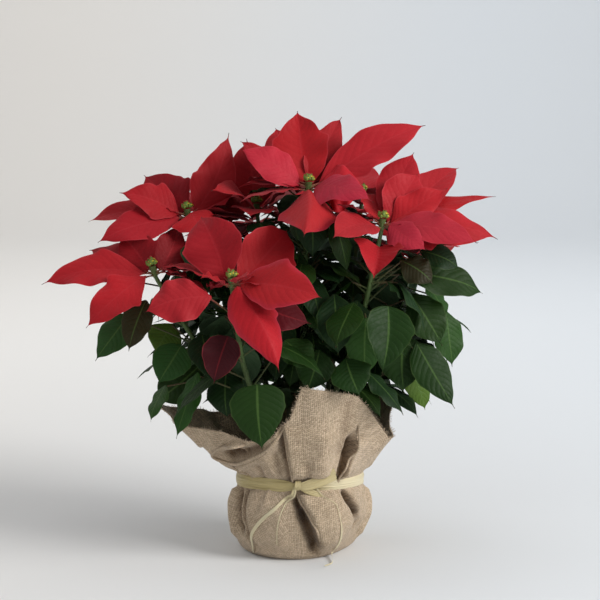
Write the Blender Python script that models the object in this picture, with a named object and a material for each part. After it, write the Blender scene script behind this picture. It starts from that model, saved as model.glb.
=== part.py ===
"""Poinsettia with red bracts in a pot wrapped in burlap and tied with raffia."""
import math
import random

import bmesh
import bpy
from mathutils import Quaternion, Vector
from mathutils.bvhtree import BVHTree

# Driving sizes in millimetres
MM = 0.001
GAP = 0.3
BLADE_THICK = 0.8
CLEAR_THICK = 2.4
STEM_FOOT_R = 4.0
STEM_TOP_R = 2.6
STEM_SIDES = 6
STEM_FOOT_Z = 70.0
HUB_TALL = 14.0
HUB_R = 4.6
POT_BASE_Z = 1.8
POT_RIM_Z = 120.0
POT_RIM_R = 75.0
POT_SIDES = 20
SOIL_TOP_Z = 103.0
WRAP_THICK = 1.4
WAIST_R = 75.5
BELLY_R = 84.0
WRAP_SIDES = 40
SEED = 26

# Blade outline: share of the length, share of the half width
BROAD = [(0.22, 0.66), (0.48, 1.0), (0.8, 0.5)]
NARROW = [(0.34, 0.96), (0.7, 0.68)]
BROAD_FROM = 60

# Stems: foot across and away, then bend points up to the head
stems = {
    "centre": [(2, -4), (2, -4, 200), (6, 0, 340), (10, 2, 428)],
    "right": [(24, -16), (38, -22, 180), (72, -32, 280), (95, -40, 388)],
    "front": [(-14, -26), (-40, -52, 160), (-66, -74, 236), (-78, -90, 325)],
    "left_upper": [(-26, 8), (-52, 12, 180), (-100, 16, 290), (-133, 20, 394)],
    "left_lower": [(-40, -12), (-72, -20, 176), (-128, -30, 262), (-169, -40, 333)],
    "centre_left": [(-8, 24), (-20, 40, 220), (-42, 54, 320), (-52, 60, 397)],
    "back_right": [(22, 14), (40, 40, 220), (66, 80, 330), (76, 94, 408)],
    "back_left": [(-22, 40), (-46, 76, 200), (-76, 116, 290), (-86, 130, 356)],
    "back": [(8, 42), (8, 76, 190), (10, 130, 300), (10, 150, 380)],
    "far_right": [(42, 4), (76, 32, 190), (122, 60, 280), (136, 70, 336)],
}

# Bracts seen from the front: tip across, away, up; width; facing round and rise;
# arch; fold
bracts = {
    "front": [
        (-20, -155, 243, 58, 20, 30, 0.10, -14),
        (25, -130, 322, 58, 10, 30, 0.14, 6),
        (-112, -66, 414, 68, -5, 14, 0.10, 8),
        (-12, -30, 391, 64, 5, 18, 0.06, 8),
        (-113, -122, 343, 24, -20, 60, 0.2, 0),
        (-60, -130, 345, 22, 0, 60, 0.2, 0),
    ],
    "centre": [
        (5, -115, 392, 78, 0, 42, 0.16, -20),
        (79, -72, 416, 52, 5, 35, 0.28, -8),
        (-70, 0, 482, 46, -10, 40, 0.16, 0),
        (78, -8, 438, 60, 10, 30, 0.30, -8),
        (-5, 62, 518, 64, 0, 25, 0.05, 8),
        (152, 45, 512, 54, 5, 40, 0.08, 8),
        (-71, 40, 492, 40, -10, 60, 0.06, 6),
        (-30, 84, 504, 54, 0, 35, 0.08, 6),
        (42, 112, 496, 54, 0, 35, 0.08, 6),
        (56, 84, 511, 44, 10, 35, 0.08, 6),
    ],
    "right": [
        (37, -118, 388, 46, -5, 40, 0.14, 0),
        (136, -2, 458, 52, 5, 15, 0.12, 6),
        (138, 45, 476, 52, 0, 20, 0.08, 6),
        (174, -14, 436, 40, 5, 40, 0.1, 6),
        (205, -75, 379, 44, 10, 40, 0.12, -6),
        (234, -40, 381, 56, 5, 45, 0.14, -8),
        (232, 22, 438, 38, 0, 60, 0.06, 4),
        (200, 70, 450, 48, 0, 40, 0.08, 6),
        (145, -82, 371, 36, 5, 20, 0.1, 0),
    ],
    "left_lower": [
        (-248, -85, 280, 48, -15, 30, 0.3, -6),
        (-304, -40, 325, 46, -5, 40, 0.14, 6),
        (-210, -12, 394, 56, -10, 15, 0.04, 8),
        (-143, 5, 396, 46, 10, 15, 0.04, 10),
        (-252, 15, 369, 40, 0, 40, 0.1, 4),
    ],
    "left_upper": [
        (-239, -28, 376, 48, -10, 40, 0.14, 0),
        (-187, 58, 453, 64, -10, 20, 0.08, 6),
        (-217, 8, 424, 46, -10, 40, 0.1, 4),
        (-257, 30, 396, 42, -5, 50, 0.12, 4),
        (-75, 50, 493, 50, 15, 10, 0.04, 8),
        (-110, -20, 378, 50, 5, 35, 0.14, 0),
    ],
    "centre_left": [
        (-66, 85, 490, 64, -5, 15, 0.05, 8),
        (-106, -22, 420, 46, -5, 40, 0.2, 0),
        (-121, 52, 404, 48, -10, 40, 0.18, 0),
        (-58, -25, 404, 52, 0, 35, 0.12, 0),
    ],
}

# Bracts out of sight: how many in the ring, first bearing, length
rings = {
    "centre": (4, 60, 96),
    "right": (4, 40, 96),
    "front": (4, 20, 92),
    "left_upper": (4, 50, 98),
    "left_lower": (4, 30, 96),
    "centre_left": (4, 10, 92),
    "back_right": (8, 5, 104),
    "back_left": (8, 25, 104),
    "back": (8, 15, 104),
    "far_right": (8, 0, 98),
}

# Leaves seen from the front: height on the stem; blade base; tip; width;
# facing round and rise; arch; fold
leaves = {
    "front": [
        (172, (-49, -112, 219), (-43, -135, 147), 64, 0, 12, 0.06, -8),
        (292, (-100, -122, 321), (-175, -135, 306), 56, 0, 30, 0.12, -8),
        (236, (-82, -107, 274), (-99, -122, 221), 46, -10, 15, 0.1, -8),
        (270, (-56, -75, 308), (13, -85, 285), 48, 10, 30, 0.12, 0),
        (205, (-18, -62, 262), (15, -85, 231), 40, 20, 20, 0.1, 0),
        (180, (-82, -52, 230), (-86, -75, 175), 48, -20, 12, 0.1, 0),
        (195, (-119, -67, 225), (-145, -87, 150), 32, -40, 20, 0.08, 0),
    ],
    "right": [
        (340, (92, -58, 371), (84, -105, 341), 58, 0, 30, 0.1, 8),
        (250, (102, -75, 304), (94, -106, 230), 58, 10, 15, 0.08, 8),
        (300, (114, -25, 338), (223, 0, 312), 52, 5, 45, 0.12, 0),
        (280, (131, -15, 311), (170, -25, 249), 50, 15, 15, 0.1, 0),
        (330, (147, -14, 380), (193, -12, 363), 32, 5, 45, 0.14, 0),
        (315, (141, -30, 363), (189, -32, 343), 36, 5, 40, 0.14, 0),
        (320, (117, -45, 354), (156, -58, 328), 38, 5, 30, 0.14, 0),
        (200, (53, -75, 243), (69, -99, 203), 48, 0, 25, 0.1, 8),
        (270, (40, -50, 315), (44, -82, 248), 46, -5, 15, 0.1, 6),
        (260, (68, -34, 305), (59, -52, 268), 40, 0, 20, 0.1, 0),
    ],
    "left_lower": [
        (250, (-202, -20, 287), (-244, -30, 232), 42, -20, 20, 0.1, 0),
        (272, (-181, -38, 306), (-202, -52, 247), 38, -10, 15, 0.1, 6),
        (232, (-139, -47, 254), (-167, -67, 211), 50, -20, 15, 0.12, 0),
        (200, (-115, -20, 229), (-171, -32, 183), 54, -10, 20, 0.1, 0),
        (210, (-157, -62, 209), (-176, -82, 170), 30, -50, 10, 0.1, 0),
        (245, (-152, 0, 272), (-173, -10, 236), 46, -15, 15, 0.1, 0),
    ],
    "left_upper": [
        (300, (-190, 10, 322), (-231, 5, 298), 48, -20, 30, 0.1, 0),
    ],
    "far_right": [
        (250, (176, 18, 286), (185, 12, 217), 42, 30, 15, 0.1, 0),
        (210, (138, -25, 253), (183, -47, 178), 46, 15, 20, 0.08, 0),
        (200, (124, -18, 262), (123, -36, 194), 56, 0, 12, 0.08, 0),
        (190, (132, 8, 226), (153, 2, 166), 36, 20, 15, 0.1, 0),
    ],
    "centre": [
        (200, (23, -52, 249), (8, -74, 203), 46, 0, 20, 0.1, 0),
    ],
}

# Leaves out of sight: how many, lowest height, highest height, first bearing
whorls = {
    "centre": (6, 170, 350, 20),
    "right": (4, 190, 350, 60),
    "front": (4, 170, 290, 160),
    "left_upper": (6, 190, 350, 10),
    "left_lower": (4, 180, 300, 110),
    "centre_left": (6, 190, 350, -60),
    "back_right": (7, 180, 360, 30),
    "back_left": (7, 170, 330, 110),
    "back": (7, 170, 350, 60),
    "far_right": (5, 170, 310, 45),
}

# Small turns and lifts tried in this order when a blade crosses another
nudges = [(0, 0, 1.0)]
for wide in (5, 10, 15, 21, 28):
    for short in (1.0, 0.88):
        for turn, lift in ((0, 1), (0, -1), (1, 0), (-1, 0), (1, 1), (-1, 1), (1, -1), (-1, -1)):
            nudges.append((turn * wide, lift * wide, short))

# Lip of the wrap: bearing from the right side, radius, height
lip = [
    (-180, 172, 172), (-171, 158, 163), (-162, 143, 156), (-153, 126, 155),
    (-144, 112, 154), (-135, 103, 150), (-126, 98, 147), (-117, 95, 144),
    (-108, 93, 154), (-99, 91, 172), (-90, 91, 192), (-81, 92, 206),
    (-72, 93, 206), (-63, 94, 204), (-54, 96, 201), (-45, 99, 196),
    (-36, 103, 184), (-27, 109, 161), (-18, 113, 146), (-9, 107, 160),
    (0, 111, 175), (9, 117, 184), (18, 115, 182), (27, 111, 176),
    (36, 107, 170), (45, 105, 166), (54, 104, 162), (63, 106, 162),
    (72, 110, 165), (81, 115, 170), (90, 119, 175), (99, 118, 174),
    (108, 114, 169), (117, 110, 163), (126, 108, 158), (135, 110, 155),
    (144, 116, 154), (153, 126, 156), (162, 140, 161), (171, 157, 167),
]


def clear_scene():
    for obj in list(bpy.data.objects):
        bpy.data.objects.remove(obj, do_unlink=True)


def paint(name, colour, rough):
    mat = bpy.data.materials.new(name)
    mat.use_nodes = True
    shader = mat.node_tree.nodes["Principled BSDF"]
    shader.inputs["Base Color"].default_value = (*colour, 1.0)
    shader.inputs["Roughness"].default_value = rough
    mat.diffuse_color = (*colour, 1.0)
    return mat


def solid(name, points, faces, mat):
    """Make one object from points in millimetres and a list of faces."""
    mesh = bpy.data.meshes.new(name)
    mesh.from_pydata([Vector(p) * MM for p in points], [], faces)
    mesh.validate()
    shape = bmesh.new()
    shape.from_mesh(mesh)
    bmesh.ops.recalc_face_normals(shape, faces=shape.faces)
    shape.to_mesh(mesh)
    shape.free()
    obj = bpy.data.objects.new(name, mesh)
    bpy.context.scene.collection.objects.link(obj)
    mesh.materials.append(mat)
    return obj


def facing(bearing, rise):
    """Direction a blade looks in: bearing 0 is the front, 90 the right side."""
    b = math.radians(bearing)
    r = math.radians(rise)
    return Vector((math.sin(b) * math.cos(r), -math.cos(b) * math.cos(r), math.sin(r)))


class Blade:
    """One bract or leaf on its petiole, in millimetres."""

    def __init__(self, root, base, tip, width, look, arch, fold, leafy):
        self.root = Vector(root)
        self.base = Vector(base)
        self.tip = Vector(tip)
        self.width = width
        self.look = Vector(look)
        self.arch = arch
        self.fold = math.radians(fold)
        self.leafy = leafy
        self.settle()

    def settle(self):
        chord = self.tip - self.base
        along = chord.normalized()
        up = self.look - along * self.look.dot(along)
        if up.length < 0.05:
            up = along.orthogonal()
        up.normalize()
        self.bend = (self.base + self.tip) / 2 + up * self.arch * chord.length
        self.up = up
        self.along = along

    def moved(self, turn, lift, short):
        """The same blade turned about its root, lifted and shortened."""
        pole = self.root
        arm = self.tip - pole
        flat = Vector((arm.x, arm.y, 0))
        if flat.length < 4:
            flat = Vector((0, -1, 0))
        side = flat.normalized().cross(Vector((0, 0, 1)))
        spin = Quaternion((0, 0, 1), math.radians(turn)) @ Quaternion(side, math.radians(lift))
        base = pole + spin @ (self.base - pole)
        tip = base + (spin @ (self.tip - self.base)) * short
        fold = math.degrees(self.fold)
        return Blade(pole, base, tip, self.width * (0.4 + 0.6 * short), spin @ self.look,
                     self.arch, fold, self.leafy)

    def rib(self, s):
        a = self.base.lerp(self.bend, s)
        b = self.bend.lerp(self.tip, s)
        return a.lerp(b, s)

    def run(self, s):
        a = self.base.lerp(self.bend, s)
        b = self.bend.lerp(self.tip, s)
        return (b - a).normalized()

    def frame(self, way):
        """Side and upper directions for the blade where it runs this way."""
        spin = self.along.rotation_difference(way)
        up = spin @ self.up
        side = way.cross(up).normalized()
        return side, up

    def point(self, s, t, half):
        """A point at share s of the length and share t of the half width."""
        side, up = self.frame(self.run(s))
        out = side * math.cos(self.fold) * t + up * math.sin(self.fold) * abs(t)
        return self.rib(s) + out * half

    def shape(self, thick, first):
        """Points and faces of the closed blade, all triangles."""
        rows = []
        stalk = self.base - self.root
        start_way = stalk.normalized() if stalk.length > 1 else self.run(0.0)
        base_way = (start_way + self.run(0.0)).normalized()
        if first == 0:
            for spot, way in ((self.root, start_way), (self.base, base_way)):
                side, up = self.frame(way)
                rows.append([(spot + side * 1.4 * t, up, 1.2) for t in (-1, 1)])
        outline = BROAD if self.width >= BROAD_FROM else NARROW
        if first:
            outline = [(0.3, 0.8)] + outline[-2:] if outline is BROAD else outline
        for s, share in outline:
            side, up = self.frame(self.run(s))
            half = self.width / 2 * share
            rows.append([(self.point(s, t, half), up, thick / 2) for t in (-1, 0, 1)])
        points = []
        starts = []
        for row in rows:
            starts.append(len(points))
            points += [spot + up * deep for spot, up, deep in row]
            points += [spot - up * deep for spot, up, deep in row]
        side, up = self.frame(self.run(1.0))
        top = len(points)
        low = top + 1
        points += [self.tip + up * thick * 0.4, self.tip - up * thick * 0.4]
        faces = []
        for k in range(len(rows) - 1):
            a = starts[k]
            b = starts[k + 1]
            m = len(rows[k])
            n = len(rows[k + 1])
            if m == n == 2:
                tris = [(0, 1, 3), (0, 3, 2)]
            elif m == 2:
                tris = [(0, 1, 3), (0, 3, 2), (1, 4, 3)]
            else:
                tris = [(0, 1, 4), (0, 4, 3), (1, 2, 4), (2, 5, 4)]
            for tri in tris:
                upper = [a + c if c < m else b + c - m for c in tri]
                lower = [a + c + m if c < m else b + c - m + n for c in tri]
                faces.append(tuple(upper))
                faces.append(tuple(reversed(lower)))
            faces += [(a, b, b + n), (a, b + n, a + m)]
            a += m - 1
            b += n - 1
            faces += [(a, a + m, b + n), (a, b + n, b)]
        if len(rows[0]) == 2:
            faces += [(0, 2, 3), (0, 3, 1)]
        else:
            faces += [(0, 3, 4), (0, 4, 1), (1, 4, 5), (1, 5, 2)]
        a = starts[-1]
        faces += [(a, a + 1, top), (a + 1, a + 2, top), (a + 4, a + 3, low), (a + 5, a + 4, low)]
        faces += [(a, top, low), (a, low, a + 3), (a + 2, a + 5, low), (a + 2, low, top)]
        return points, faces


def tube(path, radii, sides, last_way=None):
    """Points and faces of a closed round bar along a path."""
    points = []
    faces = []
    turn = math.pi / sides
    for k, spot in enumerate(path):
        before = path[max(k - 1, 0)]
        after = path[min(k + 1, len(path) - 1)]
        way = (after - before).normalized()
        if last_way is not None and k == len(path) - 1:
            way = last_way
        side = way.cross(Vector((0, 1, 0))).normalized()
        deep = way.cross(side).normalized()
        for j in range(sides):
            a = 2 * math.pi * j / sides + turn
            points.append(spot + (side * math.cos(a) + deep * math.sin(a)) * radii[k])
    for k in range(len(path) - 1):
        for j in range(sides):
            a = k * sides + j
            b = k * sides + (j + 1) % sides
            faces.append((a, b, b + sides, a + sides))
    faces.append(tuple(range(sides - 1, -1, -1)))
    last = (len(path) - 1) * sides
    faces.append(tuple(range(last, last + sides)))
    return points, faces


def stem_path(name):
    """Smooth centre line from the foot in the soil to the head."""
    spec = stems[name]
    x, y = spec[0]
    knots = [Vector((x, y, STEM_FOOT_Z)), Vector((x, y, SOIL_TOP_Z + 6))]
    knots += [Vector(p) for p in spec[1:]]
    path = [knots[0], knots[1]]
    for k in range(1, len(knots) - 1):
        p0 = knots[k - 1]
        p1 = knots[k]
        p2 = knots[k + 1]
        p3 = knots[min(k + 2, len(knots) - 1)]
        for u in (0.5, 1.0):
            a = 2 * p1
            b = (p2 - p0) * u
            c = (2 * p0 - 5 * p1 + 4 * p2 - p3) * u * u
            d = (3 * p1 - p0 - 3 * p2 + p3) * u * u * u
            path.append((a + b + c + d) / 2)
    return path


def stem_at(path, height):
    """Point of the centre line at a height."""
    for a, b in zip(path, path[1:]):
        if a.z <= height <= b.z:
            return a.lerp(b, (height - a.z) / (b.z - a.z))
    return path[-1].copy()


def stem_radii(path):
    low = path[1].z
    high = path[-1].z
    radii = []
    for spot in path:
        u = min(max((spot.z - low) / (high - low), 0.0), 1.0)
        radii.append(STEM_FOOT_R + (STEM_TOP_R - STEM_FOOT_R) * u)
    return radii


def head_axis(path):
    way = (path[-1] - path[-2]).normalized()
    return (way + Vector((0, 0, 0.8))).normalized()


def bract_from(head, axis, tip, width, look, arch, fold, level):
    """A bract that leaves the core sideways and then runs to its tip."""
    tip = Vector(tip)
    middle = head + axis * level
    out = tip - middle
    out = out - axis * out.dot(axis)
    out.normalize()
    root = middle + out * 2.4
    base = middle + out * 11 + axis * 2.5
    return Blade(root, base, tip, width, look, arch, fold, False)


def gather_blades():
    """Every blade in order of importance: seen ones first, then the rest."""
    rng = random.Random(SEED)
    seen = []
    rest = []
    for name in stems:
        path = stem_path(name)
        axis = head_axis(path)
        head = path[-1] + axis * GAP
        for k, row in enumerate(bracts.get(name, [])):
            look = facing(row[4], row[5])
            level = 3.0 + (k % 3) * 2.2
            blade = bract_from(head, axis, row[:3], row[3], look, row[6], row[7], level)
            seen.append((row[1], "bloom_" + name, blade))
        for row in leaves.get(name, []):
            root = stem_at(path, row[0])
            root = root + (Vector(row[1]) - root).normalized()
            look = facing(row[4], row[5])
            blade = Blade(root, row[1], row[2], row[3], look, row[6], row[7], True)
            seen.append((row[2][1], "stem_" + name, blade))
        count, first, long = rings[name]
        hidden = name in ("back_right", "back_left", "back", "far_right")
        for k in range(count):
            if hidden:
                bearing = first + k * 360 / count + rng.uniform(-9, 9)
            else:
                bearing = 180 + first * 0.2 + (k - (count - 1) / 2) * 44 + rng.uniform(-8, 8)
            inner = k % 3 == 2
            size = long * (0.62 if inner else 1.0) * rng.uniform(0.9, 1.08)
            rise = rng.uniform(30, 44) if inner else rng.uniform(2, 20)
            out = facing(bearing, rise)
            tip = head + axis * 8 + out * size
            look = (Vector((0, 0, 1)) - 0.25 * facing(bearing, 0)).normalized()
            wide = size * rng.uniform(0.42, 0.5)
            level = 3.0 + (k % 3) * 2.2
            blade = bract_from(head, axis, tip, wide, look, rng.uniform(0.06, 0.14),
                               rng.uniform(0, 10), level)
            rest.append((400 - tip.y, "bloom_" + name, blade))
        count, low, high, first = whorls[name]
        for k in range(count):
            height = low + (high - low) * (k + 0.5) / count
            root = stem_at(path, height)
            bearing = first + k * 137.5 + rng.uniform(-10, 10)
            base = root + facing(bearing, 28) * rng.uniform(30, 38)
            root = root + facing(bearing, 28)
            fall = rng.uniform(-42, -18)
            size = rng.uniform(74, 92)
            tip = base + facing(bearing, fall) * size
            look = (facing(bearing, 0) * 0.45 + Vector((0, 0, 1))).normalized()
            blade = Blade(root, base, tip, size * rng.uniform(0.5, 0.58), look,
                          rng.uniform(0.08, 0.16), rng.uniform(-6, 6), True)
            rest.append((1000 - tip.y, "stem_" + name, blade))
    seen.sort(key=lambda item: item[0])
    rest.sort(key=lambda item: item[0])
    return seen + rest


def tree(points, faces):
    return BVHTree.FromPolygons([Vector(p) for p in points], faces, epsilon=0.0)


def place_blades(fixed):
    """Keep each blade clear of all other nodes and of its own neighbours."""
    taken = []
    for owner, points, faces in fixed:
        taken.append((owner, tree(points, faces), None))
    kept = []
    dropped = 0
    for order, owner, blade in gather_blades():
        best = None
        for turn, lift, short in nudges:
            trial = blade.moved(turn, lift, short) if (turn, lift, short) != nudges[0] else blade
            whole = tree(*trial.shape(CLEAR_THICK, 0))
            outer = tree(*trial.shape(CLEAR_THICK, 1))
            free = True
            for other, solid_tree, outer_tree in taken:
                if other == owner:
                    if outer_tree is not None and outer.overlap(outer_tree):
                        free = False
                    elif outer_tree is None and outer.overlap(solid_tree):
                        free = False
                elif whole.overlap(solid_tree):
                    free = False
                if not free:
                    break
            if free:
                best = trial
                break
        if best is None:
            dropped += 1
            continue
        taken.append((owner, whole, outer))
        kept.append((owner, best))
    print("blades kept", len(kept), "dropped", dropped)
    return kept


def union(base, group, solver):
    """Mesh of the base joined with everything in the collection."""
    join = base.modifiers.new("union", "BOOLEAN")
    join.operation = "UNION"
    join.operand_type = "COLLECTION"
    join.collection = group
    join.solver = solver
    depsgraph = bpy.context.evaluated_depsgraph_get()
    mesh = bpy.data.meshes.new_from_object(base.evaluated_get(depsgraph))
    base.modifiers.clear()
    return mesh


def fuse(name, pieces, mat):
    """One Boolean union over a collection of closed pieces."""
    base_points, base_faces = pieces[0]
    base = solid(name, base_points, base_faces, mat)
    group = bpy.data.collections.new(name + "_pieces")
    bpy.context.scene.collection.children.link(group)
    for k, (points, faces) in enumerate(pieces[1:]):
        part = solid(name + "_piece", points, faces, mat)
        bpy.context.scene.collection.objects.unlink(part)
        group.objects.link(part)
    for solver, weld in (("EXACT", 0.000004), ("EXACT", 0.0000006), ("MANIFOLD", 0.000001)):
        mesh = union(base, group, solver)
        if tidy(name, mesh, weld):
            break
    old = base.data
    base.data = mesh
    bpy.data.meshes.remove(old)
    for part in list(group.objects):
        bpy.data.objects.remove(part, do_unlink=True)
    bpy.data.collections.remove(group)
    return base


def tidy(name, mesh, weld):
    """Weld slivers, drop loose scraps and sealed hollows; true when closed."""
    shape = bmesh.new()
    shape.from_mesh(mesh)
    bmesh.ops.remove_doubles(shape, verts=shape.verts, dist=weld)
    bmesh.ops.dissolve_degenerate(shape, dist=weld, edges=shape.edges)
    bmesh.ops.triangulate(shape, faces=shape.faces)
    left = set(shape.verts)
    islands = []
    while left:
        start = left.pop()
        island = [start]
        edge = [start]
        while edge:
            vert = edge.pop()
            for link in vert.link_edges:
                other = link.other_vert(vert)
                if other in left:
                    left.discard(other)
                    island.append(other)
                    edge.append(other)
        islands.append(island)
    islands.sort(key=len, reverse=True)
    extra = [v for island in islands[1:] for v in island]
    if extra:
        bmesh.ops.delete(shape, geom=extra, context="VERTS")
    bmesh.ops.recalc_face_normals(shape, faces=shape.faces)
    closed = all(len(edge.link_faces) == 2 for edge in shape.edges)
    shape.to_mesh(mesh)
    shape.free()
    return closed


def lathe(profile, sides, turn=0.0):
    """Points and faces of a closed turned body; ends of the profile on the axis."""
    points = []
    faces = []
    rings_made = []
    for r, z in profile:
        if r == 0:
            rings_made.append([len(points)])
            points.append(Vector((0, 0, z)))
        else:
            ring = []
            for j in range(sides):
                a = 2 * math.pi * j / sides + turn
                ring.append(len(points))
                points.append(Vector((r * math.cos(a), r * math.sin(a), z)))
            rings_made.append(ring)
    for low, high in zip(rings_made, rings_made[1:]):
        for j in range(sides):
            k = (j + 1) % sides
            if len(low) == 1 and len(high) > 1:
                faces.append((low[0], high[k], high[j]))
            elif len(high) == 1 and len(low) > 1:
                faces.append((low[j], low[k], high[0]))
            else:
                faces.append((low[j], low[k], high[k], high[j]))
    return points, faces


def waist_height(angle):
    return 85 - 7 * math.sin(angle)


def wrap_profile(angle, lip_r, lip_z):
    """Outer line of the wrap at one bearing, from the floor up to the lip."""
    waist = waist_height(angle)
    rows = [(72, 0), (79, 5), (BELLY_R, 24), (BELLY_R, waist - 26),
            (WAIST_R, waist - 8), (WAIST_R, waist + 8)]
    foot = waist + 8
    for z, least in ((104, 79.5), (121, 82.0)):
        share = max(z - foot, 0) / (lip_z - foot)
        r = WAIST_R + (lip_r - WAIST_R) * share ** 0.92
        rows.append((max(r, least), max(z, foot + 2)))
    rows.append((lip_r, lip_z))
    return rows


def wrap_solid():
    """Closed burlap shell with a floor, a waist and a flared lip."""
    outer = []
    for bearing, lip_r, lip_z in lip:
        a = math.radians(bearing)
        line = wrap_profile(a, lip_r, lip_z)
        outer.append([Vector((r * math.cos(a), r * math.sin(a), z)) for r, z in line])
    sides = len(outer)
    tall = len(outer[0])
    inner = []
    for i in range(sides):
        line = []
        for k in range(tall):
            u = outer[(i + 1) % sides][k] - outer[i - 1][k]
            v = outer[i][min(k + 1, tall - 1)] - outer[i][max(k - 1, 0)]
            out = u.cross(v).normalized()
            if k == 0:
                out = Vector((0, 0, -1))
            line.append(outer[i][k] - out * WRAP_THICK)
        inner.append(line)
    points = []
    for lines in (outer, inner):
        for line in lines:
            points += line
    half = sides * tall
    faces = []
    for i in range(sides):
        j = (i + 1) % sides
        for k in range(tall - 1):
            a = i * tall + k
            b = j * tall + k
            faces += [(a, b, b + 1), (a, b + 1, a + 1)]
            faces += [(half + a, half + b + 1, half + b), (half + a, half + a + 1, half + b + 1)]
        a = i * tall + tall - 1
        b = j * tall + tall - 1
        faces += [(a, b, half + b), (a, half + b, half + a)]
    centre = len(points)
    points += [Vector((0, 0, 0)), Vector((0, 0, WRAP_THICK))]
    for i in range(sides):
        j = (i + 1) % sides
        faces += [(centre, j * tall, i * tall), (centre + 1, half + i * tall, half + j * tall)]
    return points, faces


def outer_wrap(bearing, z):
    """Radius of the wrap below the tie at a bearing in degrees."""
    a = math.radians(bearing)
    line = wrap_profile(a, 95, 150)
    for (r0, z0), (r1, z1) in zip(line, line[1:]):
        if z0 <= z <= z1 and z1 > z0:
            return r0 + (r1 - r0) * (z - z0) / (z1 - z0)
    return WAIST_R


def on_wrap(bearing, z, off):
    a = math.radians(bearing)
    r = outer_wrap(bearing, z) + off
    return Vector((r * math.cos(a), r * math.sin(a), z))


def strip(spots, widths, thick):
    """Closed flat ribbon along points, its face turned away from the axis."""
    points = []
    faces = []
    for k, spot in enumerate(spots):
        way = (spots[min(k + 1, len(spots) - 1)] - spots[max(k - 1, 0)]).normalized()
        out = Vector((spot.x, spot.y, 0)).normalized()
        out = (out - way * out.dot(way)).normalized()
        side = way.cross(out)
        w = widths[k] / 2
        points += [spot + side * w, spot - side * w,
                   spot - side * w + out * thick, spot + side * w + out * thick]
    for k in range(len(spots) - 1):
        a = 4 * k
        b = a + 4
        for c in range(4):
            d = (c + 1) % 4
            faces += [(a + c, a + d, b + d), (a + c, b + d, b + c)]
    last = 4 * (len(spots) - 1)
    faces += [(0, 1, 2), (0, 2, 3), (last, last + 2, last + 1), (last, last + 3, last + 2)]
    return points, faces


def tie_pieces():
    """Band round the waist, the knot, the fanned end and three thin tails."""
    band_points = []
    band_faces = []
    sides = WRAP_SIDES
    for j in range(sides):
        a = 2 * math.pi * j / sides
        mid = waist_height(a)
        r = WAIST_R + GAP + 0.1
        for dr, dz in ((0, -6.5), (1.3, -6.5), (1.3, 6.5), (0, 6.5)):
            band_points.append(Vector(((r + dr) * math.cos(a), (r + dr) * math.sin(a), mid + dz)))
    for j in range(sides):
        a = 4 * j
        b = 4 * ((j + 1) % sides)
        for c in range(4):
            d = (c + 1) % 4
            band_faces += [(a + c, a + d, b + d), (a + c, b + d, b + c)]
    pieces = [(band_points, band_faces)]
    knot_z = waist_height(math.radians(-92)) + 0.5
    knot = [(0, -8), (3.8, -6.5), (5.1, 0), (3.8, 6.5), (0, 8)]
    points, faces = lathe(knot, 8)
    spin = Quaternion((0, 1, 0), math.radians(90))
    at = Vector((-2, -(WAIST_R + GAP + 5.4), knot_z))
    pieces.append(([spin @ p + at for p in points], faces))
    fan = [Vector((0, -82, knot_z)), Vector((20, -81, knot_z + 6)), Vector((42, -77, knot_z + 15))]
    pieces.append(strip(fan, (6, 12, 14), 1.2))
    left = [Vector((-4, -82, knot_z - 2))]
    left += [on_wrap(b, z, 2.0) for b, z in ((-100, 66), (-109, 50), (-117, 36), (-121, 22))]
    left.append(Vector((-43, -77, 4)))
    pieces.append(strip(left, (4, 3.4, 3, 3, 3, 2.4), 1.1))
    thin = [Vector((-3, -82.5, knot_z - 2))]
    thin += [on_wrap(b, z, 1.8) for b, z in ((-97, 62), (-103, 44), (-107, 22))]
    pieces.append(strip(thin, (3, 2.2, 2, 1.8), 1.0))
    right = [Vector((22, -80.5, knot_z - 3))]
    right += [on_wrap(b, z, 1.8) for b, z in ((-66, 66), (-61, 46), (-59, 24))]
    right += [Vector((42, -80, 3)), Vector((31, -98, 1.2))]
    pieces.append(strip(right, (3, 2.4, 2.2, 2.2, 2.0, 1.8), 1.0))
    lower = [Vector((1, -82, knot_z)), Vector((14, -81, knot_z - 4)), Vector((26, -78.5, knot_z - 5))]
    pieces.append(strip(lower, (5, 8, 7), 1.2))
    return pieces


def bud(spot, way, tall, wide):
    """A small closed bud on four sides."""
    side = way.orthogonal().normalized()
    deep = way.cross(side)
    points = [spot.copy()]
    for share, part in ((0.3, 0.9), (0.75, 1.0)):
        for j in range(4):
            a = math.pi * j / 2
            points.append(spot + way * tall * share
                          + (side * math.cos(a) + deep * math.sin(a)) * wide / 2 * part)
    points.append(spot + way * tall)
    faces = []
    for j in range(4):
        k = (j + 1) % 4
        faces += [(0, 1 + k, 1 + j), (1 + j, 1 + k, 5 + k), (1 + j, 5 + k, 5 + j),
                  (5 + j, 5 + k, 9)]
    return points, faces


def cluster(head, axis, seed):
    """Pad and buds of one head's true flowers."""
    rng = random.Random(seed)
    foot = head + axis * (HUB_TALL + GAP)
    pad, faces = lathe([(0, 0), (4.6, 0), (4.6, 3.0), (0, 3.6)], 6)
    spin = Vector((0, 0, 1)).rotation_difference(axis)
    pieces = [([spin @ p + foot for p in pad], faces)]
    for k in range(4):
        a = math.pi * k / 2 + rng.uniform(-0.2, 0.2)
        way = (spin @ Vector((math.cos(a) * 0.35, math.sin(a) * 0.35, 1))).normalized()
        spot = foot + spin @ Vector((math.cos(a) * 3.1, math.sin(a) * 3.1, 1.2))
        pieces.append(bud(spot, way, rng.uniform(6.5, 8.5), rng.uniform(4.0, 4.8)))
    return pieces


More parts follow.
